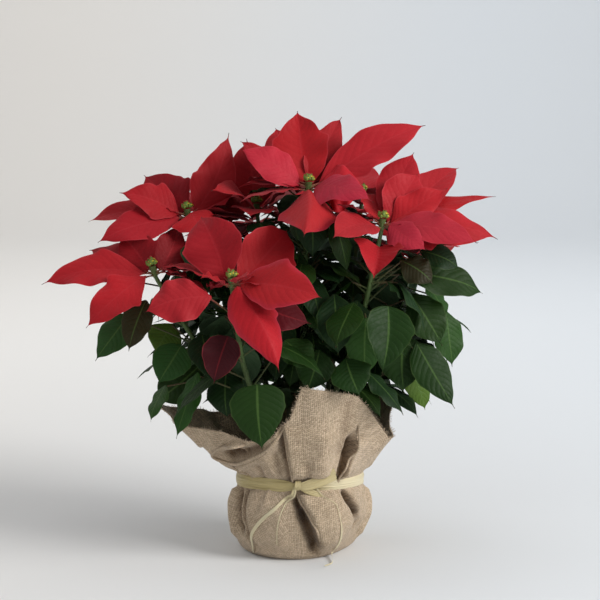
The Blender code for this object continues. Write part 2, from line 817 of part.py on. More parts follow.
def build():
    clear_scene()
    leaf_mat = paint("leaf_green", (0.055, 0.13, 0.035), 0.5)
    bract_mat = paint("bract_red", (0.56, 0.03, 0.035), 0.5)
    flower_mat = paint("cyathia_yellow_green", (0.46, 0.5, 0.08), 0.5)
    pot_mat = paint("pot_black_plastic", (0.02, 0.02, 0.022), 0.5)
    soil_mat = paint("potting_soil", (0.05, 0.03, 0.018), 0.9)
    burlap_mat = paint("burlap", (0.5, 0.38, 0.26), 0.9)
    raffia_mat = paint("raffia", (0.62, 0.55, 0.3), 0.6)

    wrap = wrap_solid()
    pot_line = [(0, POT_BASE_Z), (54, POT_BASE_Z), (67.6, 101), (POT_RIM_R - 0.4, 103),
                (POT_RIM_R, POT_RIM_Z), (POT_RIM_R - 1.8, POT_RIM_Z), (72.4, 106),
                (65.9, 104), (52.4, 4.2), (0, 4.2)]
    pot = lathe(pot_line, POT_SIDES)
    soil_line = [(0, 4.5), (52.0, 4.5), (65.4, SOIL_TOP_Z), (0, SOIL_TOP_Z)]
    soil = lathe(soil_line, POT_SIDES)

    pot_obj = solid("pot", pot[0], pot[1], pot_mat)
    soil_obj = solid("potting_soil", soil[0], soil[1], soil_mat)
    wrap_obj = solid("burlap_wrap", wrap[0], wrap[1], burlap_mat)
    for obj in (pot_obj, soil_obj, wrap_obj):
        tidy(obj.name, obj.data, 0.000001)

    cutters = bpy.data.collections.new("stem_holes")
    bpy.context.scene.collection.children.link(cutters)
    fixed = [("burlap_wrap", *wrap), ("pot", *pot), ("potting_soil", *soil)]
    stem_shapes = {}
    hub_shapes = {}
    bud_shapes = {}
    for k, name in enumerate(stems):
        path = stem_path(name)
        axis = head_axis(path)
        shape = tube(path, stem_radii(path), STEM_SIDES, axis)
        stem_shapes[name] = shape
        head = path[-1] + axis * GAP
        hub = tube([head, head + axis * HUB_TALL], [2.8, HUB_R], 6)
        hub_shapes[name] = hub
        bud_shapes[name] = cluster(head, axis, SEED + k)
        fixed.append(("stem_" + name, *shape))
        fixed.append(("bloom_" + name, *hub))
        fat, fat_faces = lathe([(0, 0), (7.5, 1), (7.5, 11), (0, 12)], 8)
        spin = Vector((0, 0, 1)).rotation_difference(axis)
        foot = head + axis * (HUB_TALL + 0.2)
        fixed.append(("cyathia_" + name, [spin @ p + foot for p in fat], fat_faces))
        low = path[0] + Vector((0, 0, -GAP))
        hole_r = STEM_FOOT_R + (GAP + 0.05) / math.cos(math.pi / STEM_SIDES)
        hole = tube([low, low + Vector((0, 0, 60))], [hole_r, hole_r], STEM_SIDES)
        cutter = solid("hole_" + name, hole[0], hole[1], soil_mat)
        bpy.context.scene.collection.objects.unlink(cutter)
        cutters.objects.link(cutter)
    cut = soil_obj.modifiers.new("holes", "BOOLEAN")
    cut.operation = "DIFFERENCE"
    cut.operand_type = "COLLECTION"
    cut.collection = cutters
    cut.solver = "EXACT"
    depsgraph = bpy.context.evaluated_depsgraph_get()
    mesh = bpy.data.meshes.new_from_object(soil_obj.evaluated_get(depsgraph))
    soil_obj.modifiers.clear()
    soil_obj.data = mesh
    for cutter in list(cutters.objects):
        bpy.data.objects.remove(cutter, do_unlink=True)
    bpy.data.collections.remove(cutters)
    tidy("potting_soil", soil_obj.data, 0.000001)

    kept = place_blades(fixed)
    fuse("raffia_tie", tie_pieces(), raffia_mat)
    for name in stems:
        shapes = [b.shape(BLADE_THICK, 0) for owner, b in kept if owner == "stem_" + name]
        fuse("stem_" + name, [stem_shapes[name]] + shapes, leaf_mat)
        shapes = [b.shape(BLADE_THICK, 0) for owner, b in kept if owner == "bloom_" + name]
        fuse("bloom_" + name, [hub_shapes[name]] + shapes, bract_mat)
        fuse("cyathia_" + name, bud_shapes[name], flower_mat)
    total = sum(len(o.data.polygons) for o in bpy.data.objects)
    print("faces", total)


build()
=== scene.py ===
import math
import random

import bpy
import numpy as np
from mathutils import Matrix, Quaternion, Vector
from mathutils.bvhtree import BVHTree


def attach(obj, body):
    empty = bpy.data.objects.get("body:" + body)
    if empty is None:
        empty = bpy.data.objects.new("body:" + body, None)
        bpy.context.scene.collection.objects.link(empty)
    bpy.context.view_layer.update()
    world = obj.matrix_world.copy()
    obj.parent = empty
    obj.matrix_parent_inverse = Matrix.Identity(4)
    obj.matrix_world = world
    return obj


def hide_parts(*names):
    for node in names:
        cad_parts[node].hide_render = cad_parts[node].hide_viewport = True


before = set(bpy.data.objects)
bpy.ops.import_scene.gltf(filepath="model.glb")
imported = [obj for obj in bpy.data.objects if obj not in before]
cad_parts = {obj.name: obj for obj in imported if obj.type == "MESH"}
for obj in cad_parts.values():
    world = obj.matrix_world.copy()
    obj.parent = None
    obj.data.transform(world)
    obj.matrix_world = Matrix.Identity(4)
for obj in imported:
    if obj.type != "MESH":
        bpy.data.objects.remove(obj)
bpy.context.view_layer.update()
mm = 0.001
spiral = 137.5  # degrees from one leaf on a stem to the next
scalar = "NodeSocketFloat"
integer = "NodeSocketInt"
arrow = "NodeSocketVector"


# Camera and light

def onScene(name, data):
    obj = bpy.data.objects.new(name, data)
    bpy.context.scene.collection.objects.link(obj)
    return obj


view = {
    "place": (0.0, -2.3, 0.616),  # metres
    "tilt": 7.8,  # degrees down
    "focal": 1942 / 600,  # share of the picture's width
    "sensor": 36.0,
}


def addCamera():
    data = bpy.data.cameras.new("viewCamera")
    data.sensor_width = view["sensor"]
    data.lens = view["focal"] * view["sensor"]
    camera = onScene("viewCamera", data)
    camera.location = view["place"]
    camera.rotation_euler = (math.radians(90 - view["tilt"]), 0, 0)
    bpy.context.scene.camera = camera


light = {
    "lamps": {  # place, aim, size, power, colour
        "window": ((2.25, -1.1, 1.65), (0, 0, 0.25), 1.5, 76, (1.0, 0.985, 0.965)),
        "fill": ((-2.2, -1.6, 1.2), (0, 0, 0.25), 2.2, 8, (0.96, 0.98, 1.0)),
        "above": ((0.2, 0.3, 2.6), (0, 0, 0.25), 1.4, 7, (1.0, 1.0, 1.0)),
        "side": ((-1.7, 0.8, 1.5), (-0.75, 0.1, 0), 1.2, 9, (1.0, 1.0, 1.0)),
        "wall": ((0, 1.6, 3.4), (0, 5.6, 1.8), 3.0, 92, (1.0, 1.0, 1.0)),
    },
    "sky": (0.87, 0.88, 0.89),
    "skyPower": 0.36,
}


def addLight():
    for name, (spot, aim, size, power, tint) in light["lamps"].items():
        data = bpy.data.lights.new(name + "Light", "AREA")
        data.size = size
        data.energy = power
        data.color = tint
        lamp = onScene(name + "Light", data)
        lamp.location = spot
        lamp.rotation_euler = (Vector(aim) - Vector(spot)).to_track_quat("-Z", "Y").to_euler()
    world = bpy.data.worlds.new("studio")
    bpy.context.scene.world = world
    world.use_nodes = True
    sky = world.node_tree.nodes["Background"]
    sky.inputs["Color"].default_value = (*light["sky"], 1)
    sky.inputs["Strength"].default_value = light["skyPower"]
    bpy.context.scene.view_settings.view_transform = "Standard"


# Shader helpers

def wire(tree, socket, source):
    if isinstance(source, bpy.types.NodeSocket):
        tree.links.new(source, socket)
    else:
        socket.default_value = source


def put(tree, kind, inputs=(), **settings):  # a node with its settings and inputs, gives its outputs
    made = tree.nodes.new(kind)
    for name, value in settings.items():
        setattr(made, name, value)
    for socket, source in dict(inputs).items():
        wire(tree, made.inputs[socket], source)
    return made.outputs


def calc(tree, operation, *terms):
    return put(tree, "ShaderNodeMath", enumerate(terms), operation=operation)[0]


def times(tree, *terms):
    return calc(tree, "MULTIPLY", *terms)


def timesPlus(tree, *terms):  # the first two multiplied, the third added
    return calc(tree, "MULTIPLY_ADD", *terms)


def tone(tree, share, low, high, how="MIX"):
    ends = ((*source, 1.0) if isinstance(source, tuple) else source for source in (low, high))
    return put(tree, "ShaderNodeMix", zip((0, 6, 7), (share, *ends)), data_type="RGBA",
               blend_type=how)[2]


def ease(tree, value, start, end, low=0.0, high=1.0):
    return put(tree, "ShaderNodeMapRange", enumerate((value, start, end, low, high)),
               interpolation_type="SMOOTHSTEP")[0]


def cloud(tree, where, scale, detail=3.0):
    return put(tree, "ShaderNodeTexNoise", {"Vector": where, "Scale": scale, "Detail": detail})[0]


def joinUp(tree, x, y, z=0.0):
    return put(tree, "ShaderNodeCombineXYZ", enumerate((x, y, z)))[0]


def apart(tree, where):
    return put(tree, "ShaderNodeSeparateXYZ", {0: where})


def onObject(tree):
    return put(tree, "ShaderNodeTexCoord")["Object"]


def attribute(tree, name, output="Color"):
    return put(tree, "ShaderNodeAttribute", attribute_name=name)[output]


def layer(tree, paint, mask, share, tint, how="MIX"):  # a tint over the paint, by a share of a mask
    return tone(tree, times(tree, mask, share), paint, tint, how)


def mapped(tree, name):
    return put(tree, "ShaderNodeUVMap", uv_map=name)[0]


def coat(tree, shader, paint, rough, height=None, depth=0.0, **fixed):
    wire(tree, shader.inputs["Base Color"], paint)
    wire(tree, shader.inputs["Roughness"], timesPlus(tree, *rough))
    if height is not None:
        raised = put(tree, "ShaderNodeBump", {"Distance": depth, "Height": height})[0]
        wire(tree, shader.inputs["Normal"], raised)
    labels = {"shine": "Specular IOR Level", "sheen": "Sheen Weight",
              "sheenRough": "Sheen Roughness", "sheenTint": "Sheen Tint"}
    for name, value in fixed.items():
        shader.inputs[labels[name]].default_value = value


def newMaterial(name):
    mat = bpy.data.materials.new(name)
    mat.use_nodes = True
    tree = mat.node_tree
    return mat, tree, tree.nodes["Principled BSDF"]


def openSockets(tree, inputs, outputs):
    for label, kind, *value in inputs:
        socket = tree.interface.new_socket(name=label, in_out="INPUT", socket_type=kind)
        if value:
            socket.default_value = value[0]
    for label, kind in outputs:
        tree.interface.new_socket(name=label, in_out="OUTPUT", socket_type=kind)
    return tree, tree.nodes.new("NodeGroupInput").outputs, tree.nodes.new("NodeGroupOutput").inputs


def newGroup(name, inputs, outputs):
    return openSockets(bpy.data.node_groups.new(name, "ShaderNodeTree"), inputs, outputs)


def place(tree, group, **values):
    inputs = {label.capitalize(): source for label, source in values.items()}
    return put(tree, "ShaderNodeGroup", inputs, node_tree=group)


# Effects that several finishes share

def makeVeins():
    group, take, give = newGroup(
        "bladeVeins",
        [("Across", scalar, 0.0), ("Along", scalar, 0.0), ("Pairs", scalar, 9.0),
         ("Sweep", scalar, 0.22), ("Line", scalar, 0.12)],
        [("Rib", scalar), ("Veins", scalar), ("Quilt", scalar), ("Edge", scalar)])
    off = calc(group, "ABSOLUTE", take["Across"])
    side = calc(group, "GREATER_THAN", take["Across"], 0.0)
    reach = times(group, calc(group, "POWER", off, 1.3), take["Sweep"])
    start = calc(group, "SUBTRACT", take["Along"], reach)
    part = calc(group, "FRACT", timesPlus(group, start, take["Pairs"], times(group, side, 0.5)))
    near = calc(group, "MINIMUM", part, calc(group, "SUBTRACT", 1.0, part))
    fade = ease(group, off, 1.0, 0.8)
    swell = calc(group, "SINE", times(group, part, math.pi))
    wire(group, give["Veins"], times(group, ease(group, near, take["Line"], 0.0), fade))
    wire(group, give["Rib"], ease(group, off, 0.07, 0.015))
    wire(group, give["Quilt"], times(group, swell, fade))
    wire(group, give["Edge"], ease(group, off, 0.93, 1.0))
    return group


def makeMottle():
    group, take, give = newGroup(
        "mottle",
        [("Where", arrow), ("Broad", scalar, 30.0), ("Fine", scalar, 260.0)],
        [("Patches", scalar), ("Specks", scalar)])
    for label, size, detail, low, high in (("Patches", "Broad", 3.0, 0.35, 0.65),
                                           ("Specks", "Fine", 4.0, 0.3, 0.7)):
        wire(group, give[label], ease(group, cloud(group, take["Where"], take[size], detail), low, high))
    return group


def makeWeave():
    group, take, give = newGroup(
        "hessianWeave",
        [("Where", arrow), ("Pitch", scalar, 0.002), ("Open", scalar, 0.25)],
        [("Height", scalar), ("Gap", scalar), ("Thread", scalar)])
    u, v, w = apart(group, take["Where"])
    wob = cloud(group, take["Where"], 60.0, 2.0)
    wobble = times(group, calc(group, "SUBTRACT", wob, 0.5), 0.9)
    x, y = (calc(group, "ADD", calc(group, "DIVIDE", along, take["Pitch"]), wobble) for along in (u, v))
    crowns = []
    shades = []
    for line, other, spread in ((x, y, 3.1), (y, x, 7.7)):
        cell = calc(group, "FLOOR", line)
        slub = cloud(group, joinUp(group, times(group, cell, spread), times(group, other, 0.16)),
                     1.0, 2.0)
        shades.append(slub)
        middle = calc(group, "SUBTRACT", calc(group, "FRACT", line), 0.5)
        share = calc(group, "DIVIDE", calc(group, "ABSOLUTE", middle), timesPlus(group, slub, 0.3, 0.3))
        arc = calc(group, "SUBTRACT", 1.0, times(group, share, share))
        crowns.append(calc(group, "SQRT", calc(group, "MAXIMUM", arc, 0.0)))
    odd = calc(group, "PINGPONG", calc(group, "ADD", calc(group, "FLOOR", x),
                                       calc(group, "FLOOR", y)), 1.0)
    over = times(group, crowns[0], timesPlus(group, odd, 0.45, 0.55))
    even = calc(group, "SUBTRACT", 1.0, odd)
    under = times(group, crowns[1], timesPlus(group, even, 0.45, 0.55))
    height = calc(group, "MAXIMUM", over, under)
    wire(group, give["Height"], height)
    # Gap marks the openings between the threads, which the finish paints as shade
    wire(group, give["Gap"], ease(group, height, take["Open"], 0.0))
    top = calc(group, "GREATER_THAN", over, under)
    mixed = calc(group, "ADD", times(group, shades[0], top),
                 times(group, shades[1], calc(group, "SUBTRACT", 1.0, top)))
    wire(group, give["Thread"], ease(group, mixed, 0.3, 0.7))
    return group


# Finishes

def bladeFinish(name, look, veins, mottle):
    mat, tree, shader = newMaterial(name)
    u, v, w = apart(tree, mapped(tree, "blade"))
    lines = place(tree, veins, across=timesPlus(tree, u, 2.0, -1.0), along=v,
                  pairs=veinLay["pairs"], sweep=veinLay["sweep"], line=look["line"])
    spots = place(tree, mottle, where=onObject(tree), broad=look["broad"], fine=look["fine"])
    under = attribute(tree, "under", "Fac")
    paint = layer(tree, attribute(tree, "tint"), spots["Patches"], look["mottle"], look["patch"],
                  "MULTIPLY")
    paint = layer(tree, paint, spots["Specks"], 0.16, (0.6, 0.6, 0.6), "MULTIPLY")
    # on the bracts the vein layer is painted shade in the grooves; on the leaves it is their paler vein
    # colour
    for mask, part in ((lines["Veins"], "vein"), (lines["Rib"], "rib"), (lines["Edge"], "edge"),
                       (under, "under")):
        paint = layer(tree, paint, mask, look[part + "Share"], look[part])
    paint = tone(tree, ease(tree, v, 0.955, 0.985), paint, look["tip"])
    height = timesPlus(tree, lines["Quilt"], look["swell"], times(tree, lines["Veins"], -0.25))
    coat(tree, shader, paint, (under, 0.2, timesPlus(tree, spots["Specks"], 0.12, look["rough"])),
         timesPlus(tree, spots["Specks"], 0.18, height), look["relief"], shine=look["shine"],
         sheen=look["sheen"], sheenRough=0.4, sheenTint=(*look["sheenTint"], 1))
    return mat


veinLay = {"pairs": 10.0, "sweep": 0.24}  # of the paint and of the relief
bractLook = {
    "line": 0.04,
    "broad": 26.0, "fine": 420.0, "mottle": 0.35, "patch": (0.72, 0.6, 0.65),
    # the bracts' darker vein colour is painted shade in the vein grooves
    "vein": (0.22, 0.002, 0.006), "veinShare": 0.12,
    "rib": (0.50, 0.035, 0.045), "ribShare": 0.2,
    "edge": (0.62, 0.07, 0.09), "edgeShare": 0.3,
    "under": (0.48, 0.04, 0.055), "underShare": 0.5,
    "tip": (0.05, 0.012, 0.008),
    "rough": 0.55, "swell": 0.5, "relief": 0.00025, "shine": 0.16,
    "sheen": 0.1, "sheenTint": (1.0, 0.45, 0.5),
}
leafLook = {
    "line": 0.035,
    "broad": 30.0, "fine": 380.0, "mottle": 0.45, "patch": (0.62, 0.72, 0.55),
    "vein": (0.05, 0.11, 0.03), "veinShare": 0.25,
    "rib": (0.09, 0.17, 0.04), "ribShare": 0.5,
    "edge": (0.08, 0.13, 0.035), "edgeShare": 0.35,
    "under": (0.09, 0.16, 0.08), "underShare": 0.6,
    "tip": (0.06, 0.05, 0.02),
    "rough": 0.48, "swell": 0.5, "relief": 0.0004, "shine": 0.17,
    "sheen": 0.0, "sheenTint": (0.8, 1.0, 0.9),
}
stalkLook = {"rough": 0.5, "bark": (0.10, 0.062, 0.035), "barkTop": 165.0}
flowerLook = {"rough": 0.42}
burlapLook = {
    "pitch": 0.0024, "open": 0.56,
    # gap is painted shade in the openings between the threads
    "light": (0.71, 0.56, 0.405), "dark": (0.50, 0.38, 0.26), "gap": (0.04, 0.027, 0.016),
    # crease is painted shade, the colour the cloth is darkened towards in the hollows of the folds
    "crease": (0.27, 0.21, 0.155),
}
raffiaLook = {"light": (0.62, 0.51, 0.25), "dark": (0.47, 0.375, 0.16), "pale": (0.80, 0.72, 0.50)}
soilLook = {"dark": (0.018, 0.011, 0.007), "light": (0.07, 0.042, 0.024), "pale": (0.62, 0.58, 0.5)}
potLook = {"base": (0.014, 0.014, 0.015), "dust": (0.09, 0.085, 0.075)}


def stalkFinish(mottle):
    mat, tree, shader = newMaterial("stalkSkin")
    where = onObject(tree)
    long = put(tree, "ShaderNodeMapping", {"Vector": where, "Scale": (1.0, 1.0, 0.18)})[0]
    streak = ease(tree, cloud(tree, long, 700.0), 0.35, 0.65)
    spots = place(tree, mottle, where=where, broad=60.0, fine=500.0)
    low = ease(tree, apart(tree, where)[2], stalkLook["barkTop"] * mm, 0.11)
    paint = layer(tree, attribute(tree, "tint"), low, timesPlus(tree, spots["Patches"], 0.5, 0.5),
                  stalkLook["bark"])
    paint = layer(tree, paint, streak, 0.35, (0.55, 0.55, 0.5), "MULTIPLY")
    coat(tree, shader, paint, (low, 0.3, stalkLook["rough"]),
         timesPlus(tree, spots["Specks"], 0.4, streak), 0.0004)
    return mat


def flowerFinish(mottle):
    mat, tree, shader = newMaterial("cyathiaSkin")
    spots = place(tree, mottle, where=onObject(tree), broad=300.0, fine=1400.0)
    paint = layer(tree, attribute(tree, "tint"), spots["Patches"], 0.35, (0.6, 0.7, 0.4), "MULTIPLY")
    coat(tree, shader, paint, (spots["Specks"], 0.2, flowerLook["rough"]), spots["Specks"], 0.0002)
    return mat


def burlapFinish(weave, mottle):
    mat, tree, shader = newMaterial("burlapCloth")
    look = burlapLook
    cloth = place(tree, weave, where=mapped(tree, "cloth"), pitch=look["pitch"], open=look["open"])
    spots = place(tree, mottle, where=onObject(tree), broad=14.0, fine=900.0)
    low = calc(tree, "SUBTRACT", 1.0, cloth["Height"])
    paint = tone(tree, cloth["Thread"], look["dark"], look["light"])
    # the last of these layers is painted shade where the weave lies low between the threads
    for mask, share, tint in ((spots["Patches"], 0.3, (0.78, 0.76, 0.7)),
                              (spots["Specks"], 0.3, (0.7, 0.68, 0.64)),
                              (times(tree, low, low), 0.75, (0.42, 0.37, 0.3))):
        paint = layer(tree, paint, mask, share, tint, "MULTIPLY")
    # painted shade in the openings of the weave
    paint = layer(tree, paint, cloth["Gap"], 0.9, look["gap"])
    # painted shade: the cloth is darkened in the hollows of its folds, by the crease attribute
    paint = tone(tree, attribute(tree, "crease", "Fac"), paint, look["crease"], "MULTIPLY")
    coat(tree, shader, paint, (spots["Specks"], 0.1, 0.82),
         timesPlus(tree, spots["Specks"], 0.15, cloth["Height"]), 0.0009,
         sheen=0.2, sheenRough=0.5, shine=0.2)
    return mat


def threadFinish():
    mat, tree, shader = newMaterial("juteThread")
    hairs = cloud(tree, onObject(tree), 600.0)
    coat(tree, shader, tone(tree, ease(tree, hairs, 0.35, 0.65), burlapLook["dark"],
                            burlapLook["light"]), (hairs, 0.15, 0.75))
    return mat


def raffiaFinish(mottle):
    mat, tree, shader = newMaterial("raffiaFibre")
    where = joinUp(tree, *(times(tree, attribute(tree, name, "Fac"), scale) for name, scale in
                           (("around", 14.0), ("span", 22.0), ("strand", 7.3))))
    fibre = ease(tree, cloud(tree, where, 1.0), 0.3, 0.7)
    spots = place(tree, mottle, where=onObject(tree), broad=40.0, fine=700.0)
    paint = tone(tree, fibre, raffiaLook["dark"], raffiaLook["light"])
    paint = layer(tree, paint, spots["Patches"], 0.3, (0.8, 0.78, 0.6), "MULTIPLY")
    paint = layer(tree, paint, attribute(tree, "pale", "Fac"), 0.75, raffiaLook["pale"])
    coat(tree, shader, paint, (fibre, -0.12, 0.52), fibre, 0.0002, sheen=0.1)
    return mat


def soilFinish(mottle):
    mat, tree, shader = newMaterial("pottingSoil")
    spots = place(tree, mottle, where=onObject(tree), broad=120.0, fine=900.0)
    paint = layer(tree, tone(tree, spots["Patches"], soilLook["dark"], soilLook["light"]),
                  attribute(tree, "pale", "Fac"), 0.9, soilLook["pale"])
    coat(tree, shader, paint, (spots["Specks"], 0.15, 0.8), spots["Specks"], 0.0008)
    return mat


def potFinish(mottle):
    mat, tree, shader = newMaterial("potPlastic")
    spots = place(tree, mottle, where=onObject(tree), broad=22.0, fine=500.0)
    paint = tone(tree, times(tree, spots["Patches"], 0.3), potLook["base"], potLook["dust"])
    coat(tree, shader, paint, (spots["Patches"], 0.25, 0.4), spots["Specks"], 0.0002)
    return mat


# Geometry Nodes helpers

def newTree(name, inputs):
    shape = ("Geometry", "NodeSocketGeometry")
    return openSockets(bpy.data.node_groups.new(name, "GeometryNodeTree"), [shape, *inputs], [shape])


def anyValue(tree, low, high, kind="FLOAT", seed=None):  # a random value between two others
    first, last, out = (2, 3, 1) if kind == "FLOAT" else (0, 1, 0)
    inputs = {first: low, last: high}
    if seed is not None:
        inputs["Seed"] = seed
    return put(tree, "FunctionNodeRandomValue", inputs, data_type=kind)[out]


def step(tree, kind, inputs=(), **settings):
    return put(tree, "GeometryNode" + kind, inputs, **settings)[0]


def aimed(tree, name):  # a rotation that turns Z to a named direction
    return put(tree, "FunctionNodeAlignRotationToVector",
               {"Vector": named(tree, name, "FLOAT_VECTOR")}, axis="Z")[0]


def named(tree, name, kind="FLOAT"):
    return put(tree, "GeometryNodeInputNamedAttribute", {"Name": name}, data_type=kind)["Attribute"]


def keep(tree, geometry, name, value, kind="FLOAT"):
    return step(tree, "StoreNamedAttribute", {"Geometry": geometry, "Name": name, "Value": value},
                data_type=kind, domain="POINT")


def finishTree(tree, give, geometry, mat):
    real = step(tree, "RealizeInstances", {"Geometry": step(tree, "SetShadeSmooth",
                                                            {"Geometry": geometry})})
    wire(tree, give["Geometry"], step(tree, "SetMaterial", {"Geometry": real, "Material": mat}))


def runTree(obj, tree, values):
    grow = obj.modifiers.new(tree.name, "NODES")
    grow.node_group = tree
    for item in tree.interface.items_tree:
        if item.in_out == "INPUT" and item.name in values:
            grow[item.identifier] = values[item.name]
    depsgraph = bpy.context.evaluated_depsgraph_get()
    mesh = bpy.data.meshes.new_from_object(obj.evaluated_get(depsgraph),
                                           preserve_all_data_layers=True, depsgraph=depsgraph)
    mesh.name = obj.name
    obj.modifiers.clear()
    obj.data = mesh
    return obj


# Mesh helpers

def newPiece(name, points, faces, mat=None, edges=()):
    mesh = bpy.data.meshes.new(name)
    mesh.from_pydata((np.asarray(points, float) * mm).tolist(), edges, faces)
    mesh.polygons.foreach_set("use_smooth", [True] * len(mesh.polygons))
    if mat is not None:
        mesh.materials.append(mat)
    return onScene(name, mesh)


def setPointValue(mesh, name, kind, values):
    field = {"FLOAT": "value", "FLOAT_VECTOR": "vector", "FLOAT_COLOR": "color"}[kind]
    made = mesh.attributes.new(name, kind, "POINT")
    made.data.foreach_set(field, np.asarray(values, np.float32).ravel())


def setMap(mesh, name, places):
    made = mesh.uv_layers.new(name=name)
    made.data.foreach_set("uv", np.asarray(places, np.float32).ravel())


def readAll(items, name, kind=np.int32):
    found = np.empty(len(items), kind)
    items.foreach_get(name, found)
    return found


def polylines(name, lines):
    starts = np.cumsum([0] + [len(line) for line in lines])
    edges = [(start + k, start + k + 1) for start, line in zip(starts, lines)
             for k in range(len(line) - 1)]
    return newPiece(name, [p for line in lines for p in line], [], edges=edges)


def setTint(mesh, shades):
    setPointValue(mesh, "tint", "FLOAT_COLOR", np.column_stack([shades, np.ones(len(shades))]))


def adopt(obj, slot, *nodes):
    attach(obj, "root")
    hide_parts(*nodes)
    return obj


# The plant's layout in millimetres, the same as the solids have

plant = {
    "gap": 0.3, "clear": 2.4, "stemFoot": 4.0, "stemTop": 2.6, "stemSides": 6,
    "footHeight": 70.0, "soilTop": 103.0, "hubTall": 14.0, "hubRadius": 4.6,
    "broadFrom": 60, "seed": 26, "hubFoot": 2.8,
    "bractRoot": 2.4, "bractBase": (11, 2.5),  # out from the head's axis, and up
    "petiole": (1.4, 1.2),  # half its width, half its thickness
    "budRoom": [(0, 0), (7.5, 1), (7.5, 11), (0, 12)],
}
ringMake = {
    "step": 44, "shake": 8, "wildShake": 9, "innerSize": 0.62, "size": (0.9, 1.08),
    "innerRise": (30, 44), "rise": (2, 20), "wide": (0.42, 0.5), "arch": (0.06, 0.14),
    "fold": (0, 10), "tints": ("red", "scarlet", "crimson"),
}
whorlMake = {
    "shake": 10, "petioleRise": 28, "petiole": (30, 38), "fall": (-42, -18), "size": (74, 92),
    "wide": (0.5, 0.58), "arch": (0.08, 0.16), "fold": (-6, 6),
    "tints": ("green", "deep", "leafy", "green"),
}
outlineBroad = [(0.22, 0.66), (0.48, 1.0), (0.8, 0.5)]
outlineNarrow = [(0.34, 0.96), (0.7, 0.68)]

# Foot across and away, then bend points up to the head
stems = {
    "centre": [(2, -4), (2, -4, 200), (6, 0, 340), (10, 2, 428)],
    "right": [(24, -16), (38, -22, 180), (72, -32, 280), (95, -40, 388)],
    "front": [(-14, -26), (-40, -52, 160), (-66, -74, 236), (-78, -90, 325)],
    "left_upper": [(-26, 8), (-52, 12, 180), (-100, 16, 290), (-133, 20, 394)],
    "left_lower": [(-40, -12), (-72, -20, 176), (-128, -30, 262), (-169, -40, 333)],
    "centre_left": [(-8, 24), (-20, 40, 220), (-42, 54, 320), (-52, 60, 397)],
    "back_right": [(22, 14), (40, 40, 220), (66, 80, 330), (76, 94, 408)],
    "back_left": [(-22, 40), (-46, 76, 200), (-76, 116, 290), (-86, 130, 356)],
    "back": [(8, 42), (8, 76, 190), (10, 130, 300), (10, 150, 380)],
    "far_right": [(42, 4), (76, 32, 190), (122, 60, 280), (136, 70, 336)],
}

